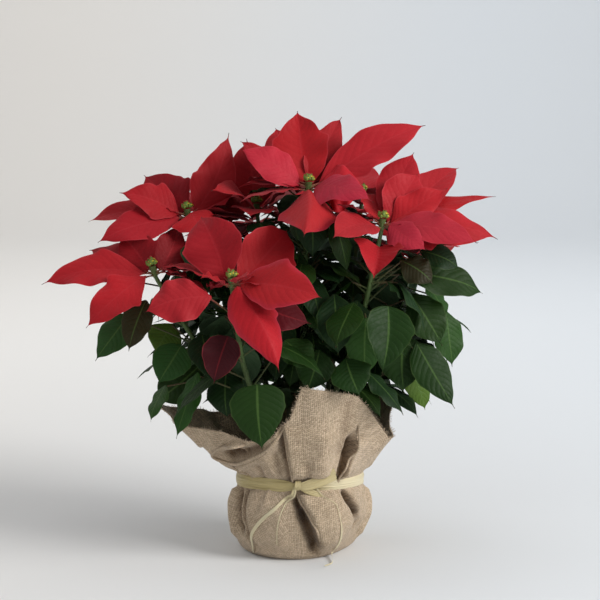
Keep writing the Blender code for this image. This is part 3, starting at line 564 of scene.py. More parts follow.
# Tip across, away, up; width; facing round and rise; arch; fold; colour
bracts = {
    "front": [
        (-20, -155, 243, 58, 20, 30, 0.10, -14, "scarlet",
         {"belly": (0.62, 1.05), "crease": -8, "lobes": [0.1, 0.0], "droop": 0.12, "wave": 1.0,
          "rim": "rose"}),
        (25, -130, 322, 58, 10, 30, 0.14, 6, "scarlet",
         {"belly": (0.85, 1.0), "crease": 4, "lobes": [0.1, 0.06], "lobeAt": 0.5, "droop": 0.1,
          "wave": 1.4, "rim": "rose"}),
        (-112, -66, 414, 68, -5, 14, 0.10, 8, "red",
         {"belly": (0.9, 0.85), "curl": 14, "lobes": [0.08, 0.0], "lobeAt": 0.55, "crease": 6}),
        (-12, -30, 391, 64, 5, 18, 0.06, 8, "red",
         {"belly": (0.9, 0.9), "lobes": [0.0, 0.1], "lobeAt": 0.6, "crease": 10}),
        (-113, -122, 343, 24, -20, 60, 0.2, 0, "red"),
        (-60, -130, 345, 22, 0, 60, 0.2, 0, "red"),
    ],
    "centre": [
        (5, -115, 392, 78, 0, 42, 0.16, -20, "scarlet",
         {"belly": (0.7, 1.0), "crease": -16, "lobes": [0.12, 0.1], "lobeAt": 0.5, "rim": "rose"}),
        (79, -72, 416, 52, 5, 35, 0.28, -8, "rose"),
        (-70, 0, 482, 46, -10, 40, 0.16, 0, "rose"),
        (78, -8, 438, 60, 10, 30, 0.30, -8, "scarlet"),
        (-5, 62, 518, 64, 0, 25, 0.05, 8, "red",
         {"belly": (0.7, 0.85), "lobes": [0.1, 0.1], "lobeAt": 0.62, "crease": 8, "curl": -2}),
        (152, 45, 512, 54, 5, 40, 0.08, 8, "scarlet"),
        (-71, 40, 492, 40, -10, 60, 0.06, 6, "red"),
        (-30, 84, 504, 54, 0, 35, 0.08, 6, "red"),
        (42, 112, 496, 54, 0, 35, 0.08, 6, "red"),
        (56, 84, 511, 44, 10, 35, 0.08, 6, "red"),
    ],
    "right": [
        (37, -118, 388, 46, -5, 40, 0.14, 0, "scarlet"),
        (136, -2, 458, 52, 5, 15, 0.12, 6, "scarlet"),
        (138, 45, 476, 52, 0, 20, 0.08, 6, "red"),
        (174, -14, 436, 40, 5, 40, 0.1, 6, "scarlet"),
        (205, -75, 379, 44, 10, 40, 0.12, -6, "rose"),
        (234, -40, 381, 56, 5, 45, 0.14, -8, "scarlet"),
        (232, 22, 438, 38, 0, 60, 0.06, 4, "red"),
        (200, 70, 450, 48, 0, 40, 0.08, 6, "red"),
        (145, -82, 371, 36, 5, 20, 0.1, 0, "rose"),
    ],
    "left_lower": [
        (-248, -85, 280, 48, -15, 30, 0.3, -6, "scarlet"),
        (-304, -40, 325, 46, -5, 40, 0.14, 6, "scarlet"),
        (-210, -12, 394, 56, -10, 15, 0.04, 8, "crimson"),
        (-143, 5, 396, 46, 10, 15, 0.04, 10, "crimson"),
        (-252, 15, 369, 40, 0, 40, 0.1, 4, "crimson"),
    ],
    "left_upper": [
        (-239, -28, 376, 48, -10, 40, 0.14, 0, "red"),
        (-187, 58, 453, 64, -10, 20, 0.08, 6, "crimson"),
        (-217, 8, 424, 46, -10, 40, 0.1, 4, "red"),
        (-257, 30, 396, 42, -5, 50, 0.12, 4, "red"),
        (-75, 50, 493, 50, 15, 10, 0.04, 8, "red"),
        (-110, -20, 378, 50, 5, 35, 0.14, 0, "red"),
    ],
    "centre_left": [
        (-66, 85, 490, 64, -5, 15, 0.05, 8, "crimson"),
        (-106, -22, 420, 46, -5, 40, 0.2, 0, "red"),
        (-121, 52, 404, 48, -10, 40, 0.18, 0, "red"),
        (-58, -25, 404, 52, 0, 35, 0.12, 0, "red"),
    ],
}

# Bracts all round the rest of each head: how many, first bearing, length
rings = {
    "centre": (4, 60, 96),
    "right": (4, 40, 96),
    "front": (4, 20, 92),
    "left_upper": (4, 50, 98),
    "left_lower": (4, 30, 96),
    "centre_left": (4, 10, 92),
    "back_right": (8, 5, 104),
    "back_left": (8, 25, 104),
    "back": (8, 15, 104),
    "far_right": (8, 0, 98),
}

# Height on the stem; blade base; tip; width; facing round and rise; arch; fold; colour
leaves = {
    "front": [
        (172, (-49, -112, 219), (-43, -135, 147), 64, 0, 12, 0.06, -8, "green",
         {"belly": (0.42, 0.95), "lobes": [0, 0], "wave": 1.0, "twist": 0, "sway": 2}),
        (292, (-100, -122, 321), (-175, -135, 306), 56, 0, 30, 0.12, -8, "scarlet"),
        (236, (-82, -107, 274), (-99, -122, 221), 46, -10, 15, 0.1, -8, "maroon",
         {"belly": (0.62, 1.05), "lobes": [0, 0], "crease": 24, "twist": 6}),
        (270, (-56, -75, 308), (13, -85, 285), 48, 10, 30, 0.12, 0, "wine"),
        (205, (-18, -62, 262), (15, -85, 231), 40, 20, 20, 0.1, 0, "leafy"),
        (180, (-82, -52, 230), (-86, -75, 175), 48, -20, 12, 0.1, 0, "deep"),
        (195, (-119, -67, 225), (-145, -87, 150), 32, -40, 20, 0.08, 0, "leafy"),
    ],
    "right": [
        (340, (92, -58, 371), (84, -105, 341), 58, 0, 30, 0.1, 8, "red",
         {"belly": (0.5, 1.1), "crease": 22, "lobes": [0.08, 0.1], "lobeAt": 0.36, "twist": 0,
          "droop": -0.1, "wave": 1.5}),
        (250, (102, -75, 304), (94, -106, 230), 58, 10, 15, 0.08, 8, "green",
         {"belly": (0.6, 1.15), "lobes": [0.05, 0.0], "crease": 12, "twist": -8, "sway": -3}),
        (300, (114, -25, 338), (223, 0, 312), 52, 5, 45, 0.12, 0, "green"),
        (280, (131, -15, 311), (170, -25, 249), 50, 15, 15, 0.1, 0, "green"),
        (330, (147, -14, 380), (193, -12, 363), 32, 5, 45, 0.14, 0, "bronze"),
        (315, (141, -30, 363), (189, -32, 343), 36, 5, 40, 0.14, 0, "deep"),
        (320, (117, -45, 354), (156, -58, 328), 38, 5, 30, 0.14, 0, "bronze"),
        (200, (53, -75, 243), (69, -99, 203), 48, 0, 25, 0.1, 8, "green"),
        (270, (40, -50, 315), (44, -82, 248), 46, -5, 15, 0.1, 6, "deep"),
        (260, (68, -34, 305), (59, -52, 268), 40, 0, 20, 0.1, 0, "deep"),
    ],
    "left_lower": [
        (250, (-202, -20, 287), (-244, -30, 232), 42, -20, 20, 0.1, 0, "leafy"),
        (272, (-181, -38, 306), (-202, -52, 247), 38, -10, 15, 0.1, 6, "bronze"),
        (232, (-139, -47, 254), (-167, -67, 211), 50, -20, 15, 0.12, 0, "leafy"),
        (200, (-115, -20, 229), (-171, -32, 183), 54, -10, 20, 0.1, 0, "green"),
        (210, (-157, -62, 209), (-176, -82, 170), 30, -50, 10, 0.1, 0, "leafy"),
        (245, (-152, 0, 272), (-173, -10, 236), 46, -15, 15, 0.1, 0, "lime"),
    ],
    "left_upper": [
        (300, (-190, 10, 322), (-231, 5, 298), 48, -20, 30, 0.1, 0, "leafy"),
    ],
    "far_right": [
        (250, (176, 18, 286), (185, 12, 217), 42, 30, 15, 0.1, 0, "leafy"),
        (210, (138, -25, 253), (183, -47, 178), 46, 15, 20, 0.08, 0, "green"),
        (200, (124, -18, 262), (123, -36, 194), 56, 0, 12, 0.08, 0, "green"),
        (190, (132, 8, 226), (153, 2, 166), 36, 20, 15, 0.1, 0, "lime"),
    ],
    "centre": [
        (200, (23, -52, 249), (8, -74, 203), 46, 0, 20, 0.1, 0, "green"),
    ],
}

# Leaves up the rest of each stem: how many, lowest and highest, first bearing
whorls = {
    "centre": (6, 170, 350, 20),
    "right": (4, 190, 350, 60),
    "front": (4, 170, 290, 160),
    "left_upper": (6, 190, 350, 10),
    "left_lower": (4, 180, 300, 110),
    "centre_left": (6, 190, 350, -60),
    "back_right": (7, 180, 360, 30),
    "back_left": (7, 170, 330, 110),
    "back": (7, 170, 350, 60),
    "far_right": (5, 170, 310, 45),
}

tints = {
    "red": (0.38, 0.010, 0.016), "scarlet": (0.44, 0.013, 0.021), "rose": (0.44, 0.020, 0.038),
    "crimson": (0.30, 0.007, 0.012), "wine": (0.11, 0.003, 0.008), "maroon": (0.05, 0.004, 0.008),
    "green": (0.013, 0.038, 0.005), "deep": (0.009, 0.031, 0.007), "leafy": (0.024, 0.072, 0.012),
    "lime": (0.10, 0.17, 0.022), "bronze": (0.030, 0.026, 0.009),
}

redTints = ("red", "scarlet", "rose", "crimson", "wine", "maroon")

# Turns, lifts and lengths tried in this order where a blade would cross another
nudges = [(0, 0, 1.0)]
for wide in (5, 10, 15, 21, 28):
    for short in (1.0, 0.88):
        for turn, lift in ((0, 1), (0, -1), (1, 0), (-1, 0), (1, 1), (-1, 1), (1, -1), (-1, -1)):
            nudges.append((turn * wide, lift * wide, short))


def facing(bearing, rise):  # bearing 0 is the front, 90 the right side
    b = math.radians(bearing)
    r = math.radians(rise)
    return Vector((math.sin(b) * math.cos(r), -math.cos(b) * math.cos(r), math.sin(r)))


class Blade:
    def __init__(self, root, base, tip, width, look, arch, fold, tint, form=None):
        self.root = Vector(root)
        self.base = Vector(base)
        self.tip = Vector(tip)
        self.width = width
        self.look = Vector(look)
        self.arch = arch
        self.fold = math.radians(fold)
        self.tint = tint
        self.seen = form is not None
        self.form = form or {}
        chord = self.tip - self.base
        self.along = chord.normalized()
        self.up = self.look - self.along * self.look.dot(self.along)
        if self.up.length < 0.05:
            self.up = self.along.orthogonal()
        self.up.normalize()
        self.bend = (self.base + self.tip) / 2 + self.up * self.arch * chord.length

    def moved(self, turn, lift, short):  # turned about its root, lifted and shortened
        arm = self.tip - self.root
        flat = Vector((arm.x, arm.y, 0))
        if flat.length < 4:
            flat = Vector((0, -1, 0))
        side = flat.normalized().cross(Vector((0, 0, 1)))
        spin = Quaternion((0, 0, 1), math.radians(turn)) @ Quaternion(side, math.radians(lift))
        base = self.root + spin @ (self.base - self.root)
        tip = base + (spin @ (self.tip - self.base)) * short
        return Blade(self.root, base, tip, self.width * (0.4 + 0.6 * short), spin @ self.look,
                     self.arch, math.degrees(self.fold), self.tint, self.form if self.seen else None)

    def rib(self, s):
        return self.base.lerp(self.bend, s).lerp(self.bend.lerp(self.tip, s), s)

    def run(self, s):
        return (self.bend.lerp(self.tip, s) - self.base.lerp(self.bend, s)).normalized()

    def turned(self, way):
        up = self.along.rotation_difference(way) @ self.up
        return way.cross(up).normalized(), up

    def shape(self, thick, first):  # the plain solid, to test what is clear
        rows = []
        halfWide, halfThick = plant["petiole"]
        stalk = self.base - self.root
        startWay = stalk.normalized() if stalk.length > 1 else self.run(0.0)
        baseWay = (startWay + self.run(0.0)).normalized()
        if first == 0:
            for spot, way in ((self.root, startWay), (self.base, baseWay)):
                side, up = self.turned(way)
                rows.append([(spot + side * halfWide * t, up, halfThick) for t in (-1, 1)])
        broad = self.width >= plant["broadFrom"]
        outline = outlineBroad if broad else outlineNarrow
        if first and broad:
            outline = [(0.3, 0.8)] + outline[-2:]
        for s, share in outline:
            side, up = self.turned(self.run(s))
            outs = [side * math.cos(self.fold) * t + up * math.sin(self.fold) * abs(t)
                    for t in (-1, 0, 1)]
            rows.append([(self.rib(s) + out * (self.width / 2 * share), up, thick / 2)
                         for out in outs])
        points = []
        starts = []
        for row in rows:
            starts.append(len(points))
            points += [spot + up * deep * sign for sign in (1, -1) for spot, up, deep in row]
        side, up = self.turned(self.run(1.0))
        top = len(points)
        low = top + 1
        points += [self.tip + up * thick * 0.4, self.tip - up * thick * 0.4]
        faces = [(0, 2, 3), (0, 3, 1)] if first == 0 else [(0, 3, 4), (0, 4, 1), (1, 4, 5), (1, 5, 2)]
        for a, b, m, n in zip(starts, starts[1:], map(len, rows), map(len, rows[1:])):
            tris = {4: [(0, 1, 3), (0, 3, 2)], 5: [(0, 1, 3), (0, 3, 2), (1, 4, 3)],
                    6: [(0, 1, 4), (0, 4, 3), (1, 2, 4), (2, 5, 4)]}[m + n]
            for tri in tris:
                faces.append(tuple(a + c if c < m else b + c - m for c in tri))
                faces.append(tuple(a + c + m if c < m else b + c - m + n for c in reversed(tri)))
            faces += [(a, b, b + n), (a, b + n, a + m)]
            a += m - 1
            b += n - 1
            faces += [(a, a + m, b + n), (a, b + n, b)]
        a = starts[-1]
        faces += [(a, a + 1, top), (a + 1, a + 2, top), (a + 4, a + 3, low), (a + 5, a + 4, low)]
        faces += [(a, top, low), (a, low, a + 3), (a + 2, a + 5, low), (a + 2, low, top)]
        return points, faces


def wayAt(path, k):  # along a line at one of its points
    return (path[min(k + 1, len(path) - 1)] - path[max(k - 1, 0)]).normalized()


def outFrom(way, out):  # a direction out, turned square to the way
    out = out.normalized()
    return (out - way * out.dot(way)).normalized()


def tube(path, radii, sides, lastWay=None):
    points = []
    faces = []
    for k, spot in enumerate(path):
        way = wayAt(path, k)
        if lastWay is not None and k == len(path) - 1:
            way = lastWay
        side = way.cross(Vector((0, 1, 0))).normalized()
        deep = way.cross(side).normalized()
        points += [spot + (side * math.cos(a) + deep * math.sin(a)) * radii[k]
                   for a in turnsOf(sides, math.pi / sides)]
        if k:
            faces += bridge((k - 1) * sides, k * sides, sides)
    last = (len(path) - 1) * sides
    return points, faces + [tuple(range(sides - 1, -1, -1)), tuple(range(last, last + sides))]


def between(p0, p1, p2, p3, u):  # a smooth way from p1 to p2
    return (2 * p1 + (p2 - p0) * u + (2 * p0 - 5 * p1 + 4 * p2 - p3) * u * u
            + (3 * p1 - p0 - 3 * p2 + p3) * u * u * u) / 2


def stemPath(name, shares=(0.5, 1.0)):
    x, y = stems[name][0]
    knots = [Vector((x, y, plant["footHeight"])), Vector((x, y, plant["soilTop"] + 6))]
    knots += [Vector(p) for p in stems[name][1:]]
    path = knots[:2]
    for k in range(1, len(knots) - 1):
        after = knots[min(k + 2, len(knots) - 1)]
        path += [between(*knots[k - 1:k + 2], after, u) for u in shares]
    return path


def stemAt(path, height):
    for a, b in zip(path, path[1:]):
        if a.z <= height <= b.z:
            return a.lerp(b, (height - a.z) / (b.z - a.z))
    return path[-1].copy()


def turnsOf(sides, start=0.0):
    return [2 * math.pi * j / sides + start for j in range(sides)]


def ringOf(r, sides, z):
    return [Vector((r * math.cos(a), r * math.sin(a), z)) for a in turnsOf(sides)]


def bridge(low, high, sides, turned=False):  # faces between two rings of points
    pairs = [(j, (j + 1) % sides) for j in range(sides)]
    if turned:
        return [(low + j, high + j, high + k, low + k) for j, k in pairs]
    return [(low + j, low + k, high + k, high + j) for j, k in pairs]


def stemRadii(path):
    low, top = path[1].z, path[-1].z
    return [plant["stemFoot"] + (plant["stemTop"] - plant["stemFoot"])
            * min(max((spot.z - low) / (top - low), 0.0), 1.0) for spot in path]


def headOf(name):
    path = stemPath(name)
    axis = ((path[-1] - path[-2]).normalized() + Vector((0, 0, 0.8))).normalized()
    return path[-1] + axis * plant["gap"], axis


def bractFrom(head, axis, level, tip, *rest):
    middle = head + axis * level
    out = Vector(tip) - middle
    out = out - axis * out.dot(axis)
    out.normalize()
    far, high = plant["bractBase"]
    return Blade(middle + out * plant["bractRoot"], middle + out * far + axis * high, tip, *rest)


def ofRow(row):  # width, look, arch, fold, tint and form, from the width on
    return row[0], facing(*row[1:3]), *row[3:6], row[6] if len(row) > 6 else {}


def gatherBlades():
    rng = random.Random(plant["seed"])
    pick = random.Random(plant["seed"] + 1)
    ring, whorl = ringMake, whorlMake
    seen = []
    rest = []
    for name in stems:
        path = stemPath(name)
        head, axis = headOf(name)
        for k, row in enumerate(bracts.get(name, [])):
            blade = bractFrom(head, axis, 3.0 + (k % 3) * 2.2, row[:3], *ofRow(row[3:]))
            seen.append((row[1], "bloom_" + name, blade))
        for row in leaves.get(name, []):
            root = stemAt(path, row[0])
            root = root + (Vector(row[1]) - root).normalized()
            blade = Blade(root, row[1], row[2], *ofRow(row[3:]))
            seen.append((row[2][1], "stem_" + name, blade))
        count, first, long = rings[name]
        for k in range(count):
            if name in ("back_right", "back_left", "back", "far_right"):
                shake = rng.uniform(-ring["wildShake"], ring["wildShake"])
                bearing = first + k * 360 / count + shake
            else:
                shake = rng.uniform(-ring["shake"], ring["shake"])
                bearing = 180 + first * 0.2 + (k - (count - 1) / 2) * ring["step"] + shake
            inner = k % 3 == 2
            size = long * (ring["innerSize"] if inner else 1.0) * rng.uniform(*ring["size"])
            rise = rng.uniform(*ring["innerRise" if inner else "rise"])
            tip = head + axis * 8 + facing(bearing, rise) * size
            look = (Vector((0, 0, 1)) - 0.25 * facing(bearing, 0)).normalized()
            wide = size * rng.uniform(*ring["wide"])
            blade = bractFrom(head, axis, 3.0 + (k % 3) * 2.2, tip, wide, look,
                              rng.uniform(*ring["arch"]), rng.uniform(*ring["fold"]),
                              pick.choice(ring["tints"]))
            rest.append((400 - tip.y, "bloom_" + name, blade))
        count, low, high, first = whorls[name]
        for k in range(count):
            root = stemAt(path, low + (high - low) * (k + 0.5) / count)
            bearing = first + k * spiral + rng.uniform(-whorl["shake"], whorl["shake"])
            out = facing(bearing, whorl["petioleRise"])
            base = root + out * rng.uniform(*whorl["petiole"])
            root = root + out
            fall = rng.uniform(*whorl["fall"])
            size = rng.uniform(*whorl["size"])
            tip = base + facing(bearing, fall) * size
            look = (facing(bearing, 0) * 0.45 + Vector((0, 0, 1))).normalized()
            blade = Blade(root, base, tip, size * rng.uniform(*whorl["wide"]), look,
                          rng.uniform(*whorl["arch"]), rng.uniform(*whorl["fold"]),
                          pick.choice(whorl["tints"]))
            rest.append((1000 - tip.y, "stem_" + name, blade))
    seen.sort(key=lambda item: item[0])
    rest.sort(key=lambda item: item[0])
    return seen + rest


def tree(points, faces):
    return BVHTree.FromPolygons([Vector(p) for p in points], faces, epsilon=0.0)


def nodeTree(name):
    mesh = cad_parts[name].data
    return tree([v.co / mm for v in mesh.vertices], [tuple(p.vertices) for p in mesh.polygons])


def turnedBody(profile, sides):
    points = []
    faces = []
    starts = []
    for r, z in profile:
        starts.append(len(points))
        points += ringOf(r, sides if r else 1, z)
    for k, (low, high) in enumerate(zip(starts, starts[1:])):
        for a, b, c, d in bridge(low, high, sides):
            if not profile[k][0]:
                faces.append((low, c, d))
            elif not profile[k + 1][0]:
                faces.append((a, b, high))
            else:
                faces.append((a, b, c, d))
    return points, faces


def clearOf(trial, owner, taken, clear):  # the trees of a blade that crosses nothing, or None
    whole = tree(*trial.shape(clear, 0))
    outer = tree(*trial.shape(clear, 1))
    for other, solidTree, outerTree in taken:
        if other == owner:
            crossed = outer.overlap(outerTree if outerTree is not None else solidTree)
        else:
            crossed = whole.overlap(solidTree)
        if crossed:
            return None
    return whole, outer


def placeBlades():
    taken = [(name, nodeTree(name), None) for name in ("burlap_wrap", "pot", "potting_soil")]
    for name in stems:
        path = stemPath(name)
        head, axis = headOf(name)
        stem = tube(path, stemRadii(path), plant["stemSides"], axis)
        hub = tube([head, head + axis * plant["hubTall"]], [plant["hubFoot"], plant["hubRadius"]], 6)
        room, faces = turnedBody(plant["budRoom"], 8)
        spin = Vector((0, 0, 1)).rotation_difference(axis)
        foot = head + axis * (plant["hubTall"] + 0.2)
        taken.append(("stem_" + name, tree(*stem), None))
        taken.append(("bloom_" + name, tree(*hub), None))
        taken.append(("cyathia_" + name, tree([spin @ p + foot for p in room], faces), None))
    kept = []
    for order, owner, blade in gatherBlades():
        for turn, lift, short in nudges:
            trial = blade.moved(turn, lift, short) if (turn, lift, short) != nudges[0] else blade
            found = clearOf(trial, owner, taken, plant["clear"])
            if found:
                taken.append((owner, *found))
                kept.append((owner, trial))
                break
    fillBlades(taken, kept)
    return kept


# Smaller leaves and bracts between the main ones, where there is room

fillMake = {
    "seed": 77, "clear": 1.0,
    "leaves": 125, "leafSize": (42, 92), "petiole": (18, 46),
    "bracts": 20, "bractSize": (40, 98),
    "front": -62, "middle": (0, 45), "reach": (182, 150),  # mm that the tips stay inside
    "lowFront": 196, "lowBack": 150, "openFront": 0.35,
    "nudges": [(0, 0, 1.0), (14, 0, 1.0), (-14, 0, 1.0), (0, 14, 1.0), (0, -14, 1.0),
               (28, 0, 0.85), (-28, 0, 0.85), (0, 26, 0.8), (0, -26, 0.8)],
}


def fillBlades(taken, kept):
    rng = random.Random(fillMake["seed"])
    trials = []
    for name in stems:
        path = stemPath(name)
        head, axis = headOf(name)
        for k in range(fillMake["bracts"]):
            bearing = k * spiral + rng.uniform(-18, 18)
            size = rng.uniform(*fillMake["bractSize"])
            rise = rng.uniform(-16, 0) if size < 60 else rng.uniform(-14, 16)
            tip = head + axis * 8 + facing(bearing, rise) * size
            look = (Vector((0, 0, 1)) - 0.3 * facing(bearing, 0)).normalized()
            tint = rng.choice(("red", "scarlet", "crimson", "red"))
            level = rng.uniform(2, 12)
            width = size * rng.uniform(0.42, 0.54)
            arch = rng.uniform(0.04, 0.16)
            fold = rng.uniform(0, 12)
            if math.cos(math.radians(bearing)) < fillMake["openFront"]:  # the front stays as pictured
                trials.append(("bloom_" + name, bractFrom(
                    head, axis, level, tip, width, look, arch, fold, tint)))
        for k in range(fillMake["leaves"]):
            root = stemAt(path, rng.uniform(160, path[-1].z - 14))
            bearing = k * spiral + rng.uniform(-25, 25)
            rise = facing(bearing, rng.uniform(0, 45))
            base = root + rise * rng.uniform(*fillMake["petiole"])
            size = rng.uniform(*fillMake["leafSize"])
            way = facing(bearing + rng.uniform(-20, 20), rng.uniform(-65, -5))
            look = (facing(bearing, 0) * 0.6 + Vector((0, 0, 1))).normalized()
            tint = rng.choice(("green", "deep", "deep", "leafy"))
            trials.append(("stem_" + name, Blade(
                root + rise, base, base + way * size, size * rng.uniform(0.5, 0.6), look,
                rng.uniform(0.06, 0.16), rng.uniform(-6, 6), tint)))
    for owner, blade in trials:
        for nudge in fillMake["nudges"]:
            trial = blade.moved(*nudge)
            x = (trial.tip.x - fillMake["middle"][0]) / fillMake["reach"][0]
            y = (trial.tip.y - fillMake["middle"][1]) / fillMake["reach"][1]
            leafy = owner.startswith("stem")
            if min(trial.tip.y, trial.base.y) < fillMake["front"] and leafy:
                continue
            low = fillMake["lowFront"] if trial.tip.y < fillMake["middle"][1] else fillMake["lowBack"]
            if x * x + y * y > 1 or trial.tip.z < low:
                continue
            found = clearOf(trial, owner, taken, fillMake["clear"])
            if found:
                taken.append((owner, *found))
                kept.append((owner, trial))
                break


# Leaves and bracts

bladeMake = {
    "thickness": 0.5, "ridge": 0.6,  # mm, the ridge is the midrib below
    "tipHalf": 0.35, "footHalf": 1.3,
    "rowEvery": 2.0, "columnEvery": 4.8, "hiddenCoarser": 2.2,
    "belly": ((0.72, 1.1), (0.95, 1.25)), "phase": (0, 6.28), "beats": (1.6, 3.4),
    "lobes": (0.05, 0.14), "lobeAt": (0.34, 0.42), "hue": (0.86, 1.1),
    "bract": {"relief": 0.16, "wave": (1.2, 3.0), "droop": (-0.04, 0.16),
              "curl": (1.0, 8.0), "sway": (-5.0, 5.0), "twist": (-12, 12), "lobe": 0.5, "crease": (-2, 12)},
    "leaf": {"relief": 0.3, "wave": (0.8, 2.6), "droop": (0.0, 0.18),
             "curl": (0.0, 7.0), "sway": (-4.0, 4.0), "twist": (-8, 8), "lobe": 0.12, "crease": (-2, 6)},
}


def bladeShape(blade, kind, rng):  # a random form where the table gives none
    spec = bladeMake[kind]
    form = {name: rng.uniform(*spec[name])
            for name in ("wave", "droop", "curl", "sway", "twist", "crease")}
    form["belly"] = [rng.uniform(*ends) for ends in bladeMake["belly"]]
    form["phases"] = [rng.uniform(*bladeMake["phase"]) for k in range(4)]
    form["beats"] = [rng.uniform(*bladeMake["beats"]) for k in range(2)]
    form["lobes"] = [rng.uniform(*bladeMake["lobes"]) if rng.random() < spec["lobe"] else 0.0
                     for k in range(2)]
    form["lobeAt"] = rng.uniform(*bladeMake["lobeAt"])
    form["hue"] = [rng.uniform(*bladeMake["hue"]) for k in range(3)]
    form.update(blade.form)
    return form


def bladeGrid(blade, kind, rng):
    spec = bladeMake[kind]
    form = bladeShape(blade, kind, rng)
    length = (blade.tip - blade.base).length
    coarse = 1.0 if blade.seen else bladeMake["hiddenCoarser"]
    rows = int(min(max(length / (bladeMake["rowEvery"] * coarse), 16), 64))
    columns = 2 * int(min(max(blade.width / (bladeMake["columnEvery"] * coarse), 4), 11)) + 1
    s = np.linspace(0, 1, rows)
    t = np.linspace(-1, 1, columns)
    t = np.sign(t) * np.abs(t) ** 0.9
    body = np.clip(s / 0.97, 0, 1)
    low, high = form["belly"]
    peak = low / (low + high)
    half = blade.width / 2 * (body / peak) ** low * ((1 - body) / (1 - peak)) ** high
    half = half - blade.width * 0.03 * np.exp(-((s - 0.91) / 0.05) ** 2)
    half = np.maximum(half, bladeMake["footHalf"] * (1 - s) + bladeMake["tipHalf"] * s)
    sGrid, tGrid = np.meshgrid(s, t, indexing="ij")
    off = np.abs(tGrid)
    wide = np.empty_like(sGrid)
    for k, sign in enumerate((-1, 1)):
        gap = s - form["lobeAt"]
        lobe = form["lobes"][k] * blade.width * np.where(gap < 0, np.exp(-(gap / 0.13) ** 2),
                                                         np.exp(-(gap / 0.035) ** 2))
        edge = half + lobe + half * 0.02 * np.sin(s * 31 + form["phases"][k])
        wide = np.where(np.sign(tGrid) == sign, edge[:, None], wide)
    wide = np.where(tGrid == 0, half[:, None], wide)
    ribs = []
    sides = []
    ups = []
    for k in range(rows):
        way = blade.run(s[k])
        side, up = blade.turned(way)
        angle = math.radians(form["twist"]) * (s[k] - 0.25)
        ribs.append(blade.rib(s[k]))
        sides.append(side * math.cos(angle) + up * math.sin(angle))
        ups.append(up * math.cos(angle) - side * math.sin(angle))
    ribs, sides, ups = (np.array(found)[:, None, :] for found in (ribs, sides, ups))
    size = length / 90
    swell = np.sin(np.pi * s) ** 0.6
    hump = np.sqrt(off ** 2 + 0.012) - 0.11
    fold = blade.fold + math.radians(form["crease"])
    lift = wide * (math.sin(fold) * hump - form["droop"] * off ** 2.2)
    for k, sign in enumerate((-1, 1)):
        beat = np.sin(6.283 * form["beats"][k] * s + form["phases"][k + 2])
        lift += (np.sign(tGrid) == sign) * form["wave"] * (beat * swell)[:, None] * off ** 2
    part = (sGrid - off ** 1.3 * veinLay["sweep"]) * veinLay["pairs"] + 0.5 * (tGrid > 0)
    fade = np.clip((1 - off) * 4, 0, 1) * np.clip(off * 9, 0, 1) * np.clip(wide / 8, 0, 1)
    lift += spec["relief"] * (np.sin(np.pi * (part - np.floor(part))) - 0.5) * fade
    bend = np.clip((s - 0.62) / 0.38, 0, 1) ** 2
    lift -= (form["curl"] * size * bend)[:, None]
    across = tGrid * wide * math.cos(fold)
    across += (form["sway"] * size * np.sin(np.pi * s))[:, None]
    middle = ribs + sides * across[..., None] + ups * lift[..., None]
    slope = np.gradient(middle, axis=0)
    tilt = np.gradient(middle, axis=1)
    normal = np.cross(tilt, slope)
    normal /= np.maximum(np.linalg.norm(normal, axis=2, keepdims=True), 1e-9)
    thin = bladeMake["thickness"] / 2 * np.clip((1 - off) * 6, 0, 1) * np.clip(wide / 3, 0.3, 1)
    inside = np.zeros_like(sGrid, bool)
    inside[1:-1, 1:-1] = True
    thin = np.where(inside, thin, 0)
    ridge = bladeMake["ridge"] * np.exp(-(tGrid * wide / 1.1) ** 2) * np.clip(1.05 - sGrid, 0, 1) * inside
    top = middle + normal * thin[..., None]
    low = middle - normal * (thin + ridge)[..., None]
    return sGrid, tGrid, top, low, inside, form


def bladeMesh(name, blades, kind, mat, seed):
    rng = random.Random(seed)
    points = []
    faces = []
    places = []
    tint = []
    under = []
    total = 0
    for blade in blades:
        sGrid, tGrid, top, low, inside, form = bladeGrid(blade, kind, rng)
        rows, columns = sGrid.shape
        number = np.arange(rows * columns).reshape(rows, columns) + total
        below = number.copy()
        below[inside] = np.arange(inside.sum()) + total + rows * columns
        points += [top.reshape(-1, 3), low[inside]]
        spot = np.stack([(tGrid + 1) / 2, sGrid], axis=-1)
        places += [spot.reshape(-1, 2), spot[inside]]
        for grid, order in ((number, (0, 1, 2, 3)), (below, (0, 3, 2, 1))):
            corners = (grid[:-1, :-1], grid[:-1, 1:], grid[1:, 1:], grid[1:, :-1])
            faces.append(np.stack([corners[k] for k in order], axis=-1).reshape(-1, 4))
        count = (rows - 1) * (columns - 1)
        under += [np.zeros(count), np.ones(count)]
        blend = np.tile(np.array(tints[blade.tint]) * np.array(form["hue"]), (*sGrid.shape, 1))
        if "rim" in form:
            edge = np.clip((np.abs(tGrid) - 0.72) / 0.28, 0, 1)[..., None]
            blend = blend + (np.array(tints[form["rim"]]) - blend) * edge
        tint += [blend.reshape(-1, 3), blend[inside]]
        total += rows * columns + int(inside.sum())
    faces = np.concatenate(faces)
    obj = newPiece(name, np.concatenate(points), faces.tolist(), mat)
    mesh = obj.data
    setMap(mesh, "blade", np.concatenate(places)[readAll(mesh.loops, "vertex_index")])
    setTint(mesh, np.concatenate(tint))
    made = mesh.attributes.new("under", "FLOAT", "FACE")
    made.data.foreach_set("value", np.concatenate(under).astype(np.float32))
    sharpen(mesh)
    return obj


